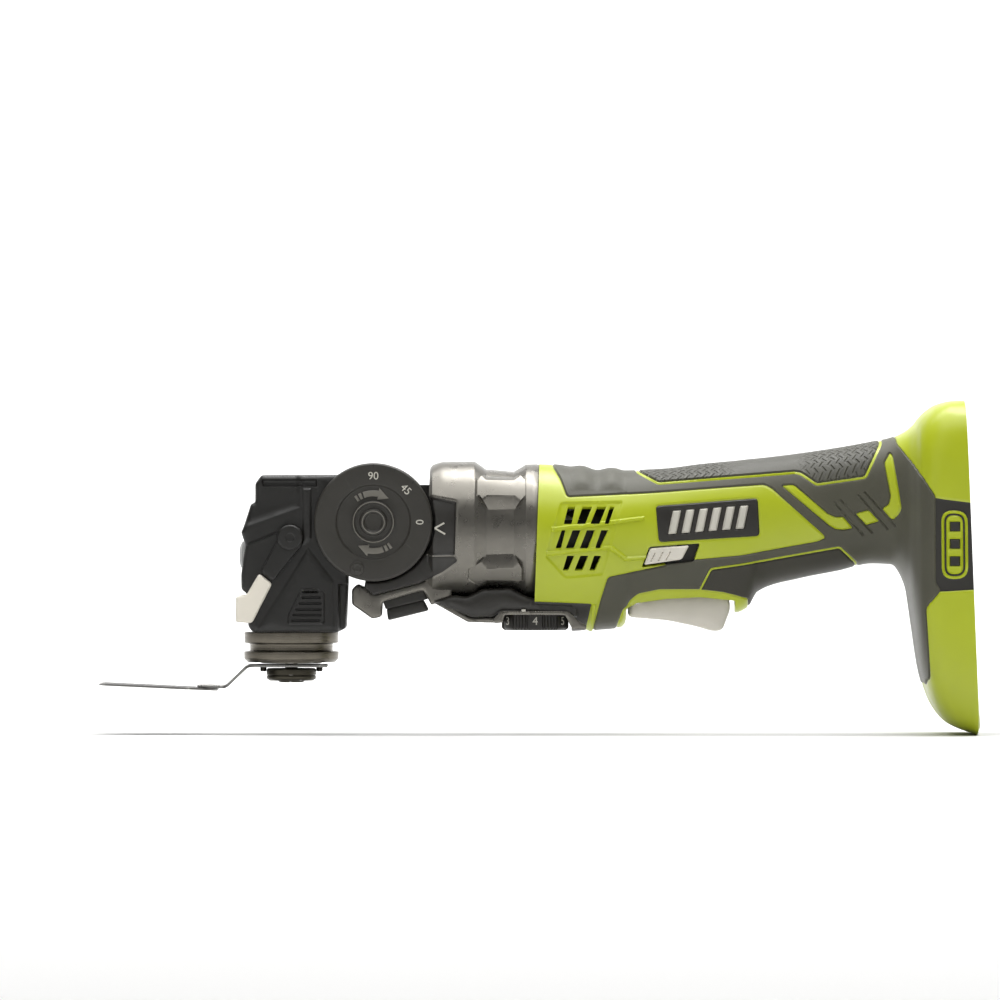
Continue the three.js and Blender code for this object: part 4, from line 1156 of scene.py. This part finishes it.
def build_speed_wheel():
    """The wheel, with ridges everywhere but at its numerals."""
    def ridges(angle):
        turns = [angle + math.pi / 2 - place + math.pi for place in WHEEL_NUMERALS.values()]
        off = min(abs(turn % (2 * math.pi) - math.pi) for turn in turns)
        return 0.0 if off < math.radians(13) else 0.22 + 0.22 * math.cos(60 * angle)

    rim = [(0, -37.8), (10.8, -37.8), (11.7, -37.0), (11.7, -32.3), (11, -31.6), (0, -31.6)]
    wheel = turned("thumb_wheel", rim, (WHEEL_X, 0, 0), sides=360, wave=ridges)
    dressed(wheel, "black", "black_plastic", "speed_wheel", "speed_wheel")


def build_motor_sleeve():
    """A dark sleeve round the motor, behind the vents, as painted shade in the slots."""
    sleeve = [(14.2, 58.5), (18.2, 58.5), (18.2, 65.5), (17.4, 65.5), (17.4, 84), (16.9, 84), (16.9, 60.2),
              (14.2, 60.2)]
    dressed(turned("vent_shade_sleeve", sleeve, (0, 0, -5), "x"), "black", "black_plastic", "handle")


def build_wheel_numerals():
    def on_rim(point, angle):
        reach = 11.68 + point.z
        return (WHEEL_X + reach * math.sin(angle) + point.x * math.cos(angle),
                -reach * math.cos(angle) + point.x * math.sin(angle), -34.7 + point.y)

    items = [(text, 2.9, angle) for text, angle in WHEEL_NUMERALS.items()]
    marks = lettering("wheel_numerals", items, on_rim)
    dressed(marks, "mark", "pale_plastic", "speed_wheel")


def build_trigger():
    """The trigger, the lock button in its bed, and the wells of the housing screws."""
    lever = slab("trigger_lever", TRIGGER, -8.8, 8.8, 2.4, 2.4, corner=2.0)
    dressed(lever, "pale", "pale_plastic", "trigger", "trigger")
    bed = slab("lock_bed", grown(LOCK_SLOT, 1.2), 15.6, 16.6, 0.1, 0.1, side=-1)
    dressed(bed, "black", "black_plastic", "handle")
    ridges = []
    for x, z in ((98.2, -10.6), (100.8, -10.4), (103.4, -10.2)):
        ridges.append(Relief(strip((x, z), (x - 1.6, z - 3.2), 0.6), -0.6, 0.3, 0.1))
    lock = slab("lock_button", LOCK_BUTTON, 18.6, 22.3, 0.1, 0.7, ridges, 1.6, 0.9, side=-1)
    dressed(lock, "pale", "pale_plastic", "lock_slide", "lock_slide")
    for k, ((x, z), top) in enumerate(zip(SCREWS, (17.2, 17.9, 16.9))):
        well = [(3.3, 13), (4.2, 13), (4.2, top), (3.3, top)]
        cup = turned(f"screw_well_{k + 1}", well, (x, 0, z), "y", 48)
        dressed(cup, "black", "black_plastic", "handle")


# ---- head ---------------------------------------------------------------------------------------------
def build_head_shells():
    """Each half of the head is a thick cheek on a thinner inner wall that is hollowed for the drive."""
    full = HEAD_FRONT + arc(DIAL_RADIUS, 244, 487, sides=60)
    body = HEAD_FRONT + arc(DIAL_RADIUS + 0.3, 240, 128, sides=30)
    grooves = [strip((left, z), (right, z), 0.85) for left, right, z in
               ((-24.8, -19, -24.4), (-25, -18.3, -26.3), (-26, -18, -28.4), (-27.2, -18, -30.5),
                (-28.2, -18, -32.4), (-28.6, -18.6, -34.3))]
    reliefs = [
        Relief([(-12.4, -50), (-12.4, -21.4), (-2, -21.4), (-2, -50)], -2.6, 0.8, 0),
        Relief([(-60, -7.9), (-45.5, -2.4), (-24.9, 4.9), (-24.9, 30), (-60, 30)], -1.3, 2.4, 0),
        Relief([(-39.3, 15), (-19.6, 15), (-19.6, 12.2), (-38.5, 12.2)], -1.1, 0.7, 0.5),
        Relief([(-24.9, 12), (-21.4, 12), (-21.4, -6), (-24.9, -8.4)], 0.7, 0.9, 0.6),
        Relief([(-22.8, -8.6), (-13.6, -20.5), (-13.2, -50), (-43, -50), (-40.6, -37), (-31, -22)],
               0.6, 1.2, 0.8),
        Relief(HEAD_RIB_PANEL, -0.6, 0.5, 0.8),
        Relief(strip((-46, -8.6), (-33.5, -3.6), 0.9), -0.7, 0.4, 0.2),
    ] + [Relief(groove, -0.9, 0.3, 0.35) for groove in grooves]
    for word, side in SIDES.items():
        cheek = slab("cheek", full, 12.1, CHEEK, 0.05, 2.0, reliefs, 1.8, 0.9, side)
        inner = slab("inner", body, SEAM, 12.1, 0.05, 0.05, corner=0.9, side=side)
        y = (-1, 13) if side > 0 else (-13, 1)
        carve(inner, block((-41.8, -21.8), y, (-36, 3)), block((-37, -12), y, (-9.5, 9.5)),
              block((-50, -42.6), y, (-17.4, -5.6)))
        chamber = block((-41.8, -21.8), (11, 13) if side > 0 else (-13, -11), (-36, 3))
        bore = turned("cutter", [(0, 5), (PIVOT_BORE, 5), (PIVOT_BORE, 30), (0, 30)], axis="y", side=side)
        carve(cheek, chamber, bore)
        casing = joined(f"head_casing_{word}", [cheek, inner], TURNED_CREASE)
        dressed(casing, "head", "black_plastic", "head", f"head_shell_{word}")


def build_dials():
    """The dial on each side, with its pivot cap, arrows, ticks and angles."""
    plate = [(4.9, 20.7), (DIAL_RADIUS - 0.4, 20.7), (DIAL_RADIUS, 21.1), (DIAL_RADIUS, 22),
             (DIAL_RADIUS - 0.6, 22.6), (13.2, 22.6), (12.6, 21.8), (7.4, 21.8), (7.2, 22.5), (4.9, 22.5)]
    cap = [(0, 23), (2.9, 23), (3.3, 23.8), (3.9, 24), (4.5, 23.8), (4.8, 23), (6.4, 23), (6.6, 23.8),
           (7, 23.8), (7.1, 22.7), (4.6, 22.7), (4.6, 9.2), (0, 9.2)]
    stud = [(0, 22.75), (1.1, 22.75), (1.4, 23.05), (2.3, 22.95), (2.5, 22.3), (0, 22.3)]
    for word, side in SIDES.items():
        dial = turned(f"dial_plate_{word}", plate, axis="y", sides=160, side=side)
        dressed(dial, "dial", "dial_plastic", "head", f"dial_{word}")
        bolt = turned(f"pivot_cap_{word}", cap, axis="y", side=side)
        dressed(bolt, "dial", "dial_plastic", "head", f"pivot_bolt_{word}")
        # Thin rings of paler grey on the cap's two ridges are painted highlights along their edges.
        rings = []
        for r in (3.7, 6.85):
            ring = [(r, 23.5), (r + 0.3, 23.5), (r + 0.3, 24.1), (r, 24.1)]
            rings.append(turned("ring", ring, axis="y", corner=0.1, side=side))
        dressed(joined(f"pivot_rings_{word}", rings), "arrow", "dial_plastic", "head")
        arrows = []
        for start in (0, 180):
            tails = [sector(8.9, 11.1, start + a, start + b) for a, b in ((122, 127), (113, 119))]
            point = [arc(r, start + a, start + a, sides=1)[0] for r, a in ((7.9, 80), (9.8, 57), (12.1, 80))]
            for shape in (*tails, sector(8.9, 11.1, start + 80, start + 110) + point):
                arrows.append(slab("arrow", shape, 21.6, 22.25, 0.05, 0.15, spacing=3, corner=0, side=side))
        dressed(joined(f"dial_arrows_{word}", arrows), "arrow", "dial_plastic", "head")
        ticks = []
        for angle in (0, 22.5, 45, 67.5, 90):
            ends = [arc(r, angle, angle, sides=1)[0] for r in (19, 20.1)]
            ticks.append(slab("tick", strip(*ends, 0.3), 22.3, 22.72, 0.02, 0.05, corner=0, side=side))
        dressed(joined(f"dial_ticks_{word}", ticks), "head", "dial_plastic", "head")
        dimple = turned(f"dial_screw_{word}", stud, (-5.6, 0, -16.1), "y", 48, 0.15, side)
        dressed(dimple, "dial", "dial_plastic", "head")

        def on_dial(point, angle, side=side):
            seen = angle if side < 0 else math.pi - angle
            turn = seen - math.pi / 2
            a = 16 * math.cos(seen) + point.x * math.cos(turn) - point.y * math.sin(turn)
            b = 16 * math.sin(seen) + point.x * math.sin(turn) + point.y * math.cos(turn)
            return a * -side, side * (22.62 + point.z), b

        scale = [("0", 2.7, 0.0), ("45", 2.7, math.pi / 4), ("90", 2.7, math.pi / 2)]
        dressed(lettering(f"dial_numerals_{word}", scale, on_dial), "mark", "dial_plastic", "head")


def build_arms():
    """The arm covers beside the head, the pale nose guard that wraps its front, and the light's lens."""
    knob = [(0, 22.9), (1.4, 22.9), (1.6, 23.2), (3.9, 23.1), (4.4, 22.6), (4.4, 20.6), (0, 20.6)]
    for word, side in SIDES.items():
        arm = slab("arm", ARM_COVER, CHEEK + 0.2, 22.3, 0.05, 0.8, spacing=1.8, corner=1.6, side=side)
        boss = turned("boss", knob, (-29, 0, -5.3), "y", 64, 0.2, side)
        cover = joined(f"arm_moulding_{word}", [arm, boss])
        dressed(cover, "head", "black_plastic", "head", f"arm_cover_{word}")
    parts = [slab("nose", NOSE_SIDE, CHEEK + 0.2, 22.2, 0.05, 0.9, corner=1.2, side=side)
             for side in SIDES.values()]
    across_front = [(-48, -26), (-45.8, -26), (-45.8, -34.8), (-48, -34.8)]
    bridge = slab("nose", across_front, -21, 21, 0.6, 0.6, corner=0.7)
    # The nose guard's brighter plastic is painted light.
    dressed(joined("nose_guard_moulding", [*parts, bridge]), "light", "pale_plastic", "head", "nose_guard")
    lens = slab("work_light_lens", LENS, -12.6, 12.6, 1.6, 1.6, corner=1.2)
    dressed(lens, "lens", "lens_clear", "head", "led_lens")


def build_spindle():
    """The collar, and what swings under it: the spindle, the blade's holder, the washer and the bolt."""
    centre = (SPINDLE_X, 0, 0)
    collar = [(12.1, -49), (15.3, -49), (16.5, -47.8), (16.6, -45.3), (14.5, -44.9), (14.5, -42.6),
              (16.4, -42.2), (16.5, -38.45), (12.1, -38.45)]
    dressed(turned("collar", collar, centre, sides=128), "steel", "steel_bright", "head", "collar_ring")
    rod = [(0, 13.8), (4.6, 13.8), (5, 13.2), (5, -48), (10.6, -48), (10.6, -49.4), (0, -49.4)]
    peg = [(0, -50.4), (1.1, -50.4), (1.1, -52), (0.8, -52.3), (0, -52.3)]
    dressed(turned("spindle_rod", rod, centre), "steel", "steel_bright", "spindle", "spindle")
    holder = slab("blade_mount", BLADE_HOLDER, -10.4, 10.4, 0.3, 0.3, corner=1.2, spacing=3)
    pins = [turned("pin", peg, (SPINDLE_X + x, 0, 0), sides=32) for x in (-9.8, 9.8)]
    dressed(joined("blade_mount_bent", [holder, *pins]), "blade", "steel_dark", "spindle", "blade_holder")
    washer = [(2.7, -51.1), (8.2, -51.1), (8.7, -51.6), (8.7, -53.3), (8.4, -53.6), (8.7, -53.9),
              (8.6, -54.8), (7.6, -55.5), (5.4, -55.5), (5, -54.2), (2.7, -54.2)]
    ring = turned("washer", washer, centre, corner=0.15)
    dressed(ring, "dark_steel", "steel_dark", "spindle", "clamp_washer")
    bolt = [(0, -36), (2.2, -36.4), (2.2, -54), (4.4, -54), (4.6, -54.4), (4.6, -55.6), (4.2, -56.1),
            (0, -56.1)]
    head = turned("bolt", bolt, centre, corner=0.15)
    socket = turned("cutter", [(0, -60), (2.1, -60), (2.1, -55), (0, -55)], centre, sides=6, corner=0)
    carve(head, socket)
    dressed(head, "dark_steel", "steel_dark", "spindle", "clamp_bolt")


def build_blade():
    """A plunge blade: a flat plate with teeth across its tip."""
    back, tip, half, neck = -54.6, -95.8, 15, 10.4
    teeth = 20
    pitch = 2 * half / teeth
    outline = [(back, -neck), (back - 4, -neck), (back - 10, -half)]
    for k in range(teeth):
        outline += [(tip + 1.5, -half + pitch * k), (tip, -half + pitch * (k + 0.5))]
    outline += [(tip + 1.5, half), (back - 10, half), (back - 4, neck), (back, neck)]
    blade = slab("plunge_blade", outline, 0, 0.8, 0.1, 0.1, corner=0, spacing=4)
    height, slope = -58.9, math.atan2(1.9, 41)
    for vertex in blade.data.vertices:
        x, up, z = (vertex.co - Vector(PIVOT)) / MM
        along = x - back
        lain = Vector((back + along * math.cos(slope) + up * math.sin(slope), z,
                       height - along * math.sin(slope) + up * math.cos(slope)))
        vertex.co = lain * MM + Vector(PIVOT)
    clean(blade)
    shade(blade, 30)
    dressed(blade, "blade", "steel_dark", "spindle", "saw_blade")


KEPT = {
    "dark_steel": ("rotor", "drive_fork", "housing_screw_1", "housing_screw_2", "housing_screw_3"),
    "steel": ("idler_gear", "lower_bearing", "upper_bearing"),
    "shaft": ("drive_pinion", "front_bearing", "rear_bearing", "eccentric_shaft", "trigger_pin",
              "release_spring"),
    # The motor can is given the dark ferrite as painted shade seen through the vents; the field magnet is
    # ferrite.
    "magnet": ("field_magnet", "motor_can"),
    "silver": ("motor_mount", "eccentric_bracket"),
    "board": ("speed_board",),
    "black": ("cooling_fan", "neck_yoke", "switch_body", "terminal_block", "dock_plate"),
    "copper": ("contact_positive", "contact_negative"),
}


def dress_kept_nodes():
    """The CAD pieces that stay: bevelled edges and a material of their own."""
    for material, names in KEPT.items():
        for name in names:
            node = frame["nodes"][name]
            node.data.materials.clear()
            node.data.materials.append(MATERIALS[material])
            bevel = node.modifiers.new("Edges", "BEVEL")
            bevel.width, bevel.segments, bevel.limit_method = 0.2 * MM, 2, "ANGLE"
            bevel.angle_limit = math.radians(40)


build_housing()
build_gear_case()
build_latch()
build_chin()
build_speed_wheel()
build_motor_sleeve()
build_wheel_numerals()
build_trigger()
build_head_shells()
build_dials()
build_arms()
build_spindle()
build_blade()
dress_kept_nodes()


# ---- camera, light and floor --------------------------------------------------------------------------
def build_camera():
    """A long lens in front of the tool, as far to the foot's side and above the pivot as the middle of the
    picture is."""
    view_width = 350 * MM
    away, aside, up = 4.0, 44.1 * MM, 7.7 * MM
    data = bpy.data.cameras.new("Camera")
    data.sensor_width = 36
    data.lens = data.sensor_width * away / view_width
    data.clip_start, data.clip_end = 0.05, 20
    camera = linked("Camera", data)
    camera.location = (PIVOT[0] + aside, -away, PIVOT[2] + up)
    camera.rotation_euler = (math.pi / 2, 0, 0)
    bpy.context.scene.camera = camera


def softbox(name, place, aim, width, height, watts):
    data = bpy.data.lights.new(name, "AREA")
    data.shape = "RECTANGLE"
    data.size, data.size_y = width, height
    data.energy = watts
    light = linked(name, data)
    light.location = place
    light.rotation_euler = (Vector(aim) - Vector(place)).to_track_quat("-Z", "Y").to_euler()


def build_stage():
    """A pale floor that curves up into a backdrop far behind, and soft studio light. The floor is painted
    paler in front of the tool, as painted light where the overhead light falls off, so that the bottom of
    the picture is as white as the rest."""
    sweep = [(-7, 0), (1.6, 0), (2.1, 0.08), (2.5, 0.3), (2.7, 0.7), (2.75, 1.5), (2.75, 5)]
    line = rounded(sweep, 0.4, closed=False)
    points = [(x, y, z) for y, z in line for x in (-6, 6)]
    faces = [(2 * i, 2 * i + 1, 2 * i + 3, 2 * i + 2) for i in range(len(line) - 1)]
    mesh = bpy.data.meshes.new("Floor")
    mesh.from_pydata(points, [], faces)
    floor = linked("Floor", mesh)
    mesh.shade_smooth()
    n = Nodes("Pale_Floor")
    near = n.mixed(n.span(n.noise(3, 2), 0.3, 0.7), (0.7, 0.7, 0.695, 1), (0.74, 0.74, 0.735, 1))
    depth = n.add("ShaderNodeSeparateXYZ", {"Vector": n.place}).outputs["Y"]
    # Painted light: the floor is paler in front, where the overhead light falls off.
    painted_light_tone = n.mixed(n.span(depth, -0.7, -1.9), near, (0.95, 0.95, 0.94, 1))
    mesh.materials.append(n.use(Base_Color=painted_light_tone, Roughness=0.7, Specular_IOR_Level=0.2))
    world = bpy.data.worlds.new("World")
    world.use_nodes = True
    background = world.node_tree.nodes["Background"]
    background.inputs["Color"].default_value = (1, 1, 1, 1)
    background.inputs["Strength"].default_value = 0.1
    bpy.context.scene.world = world
    softbox("Overhead", (0, -0.4, 2.6), (0, -0.4, 0), 4, 4, 130)
    softbox("Top", (0.1, 0.1, 0.9), (0, 0, 0.08), 0.7, 0.3, 5)
    softbox("Fill", (-0.9, -1.3, 0.5), (0, 0, 0.08), 0.8, 0.8, 1)
    softbox("Backdrop", (0, 1.0, 1.6), (0, 2.4, 0.3), 3.0, 1.0, 60)
    bpy.context.scene.view_settings.view_transform = "Standard"


build_camera()
build_stage()
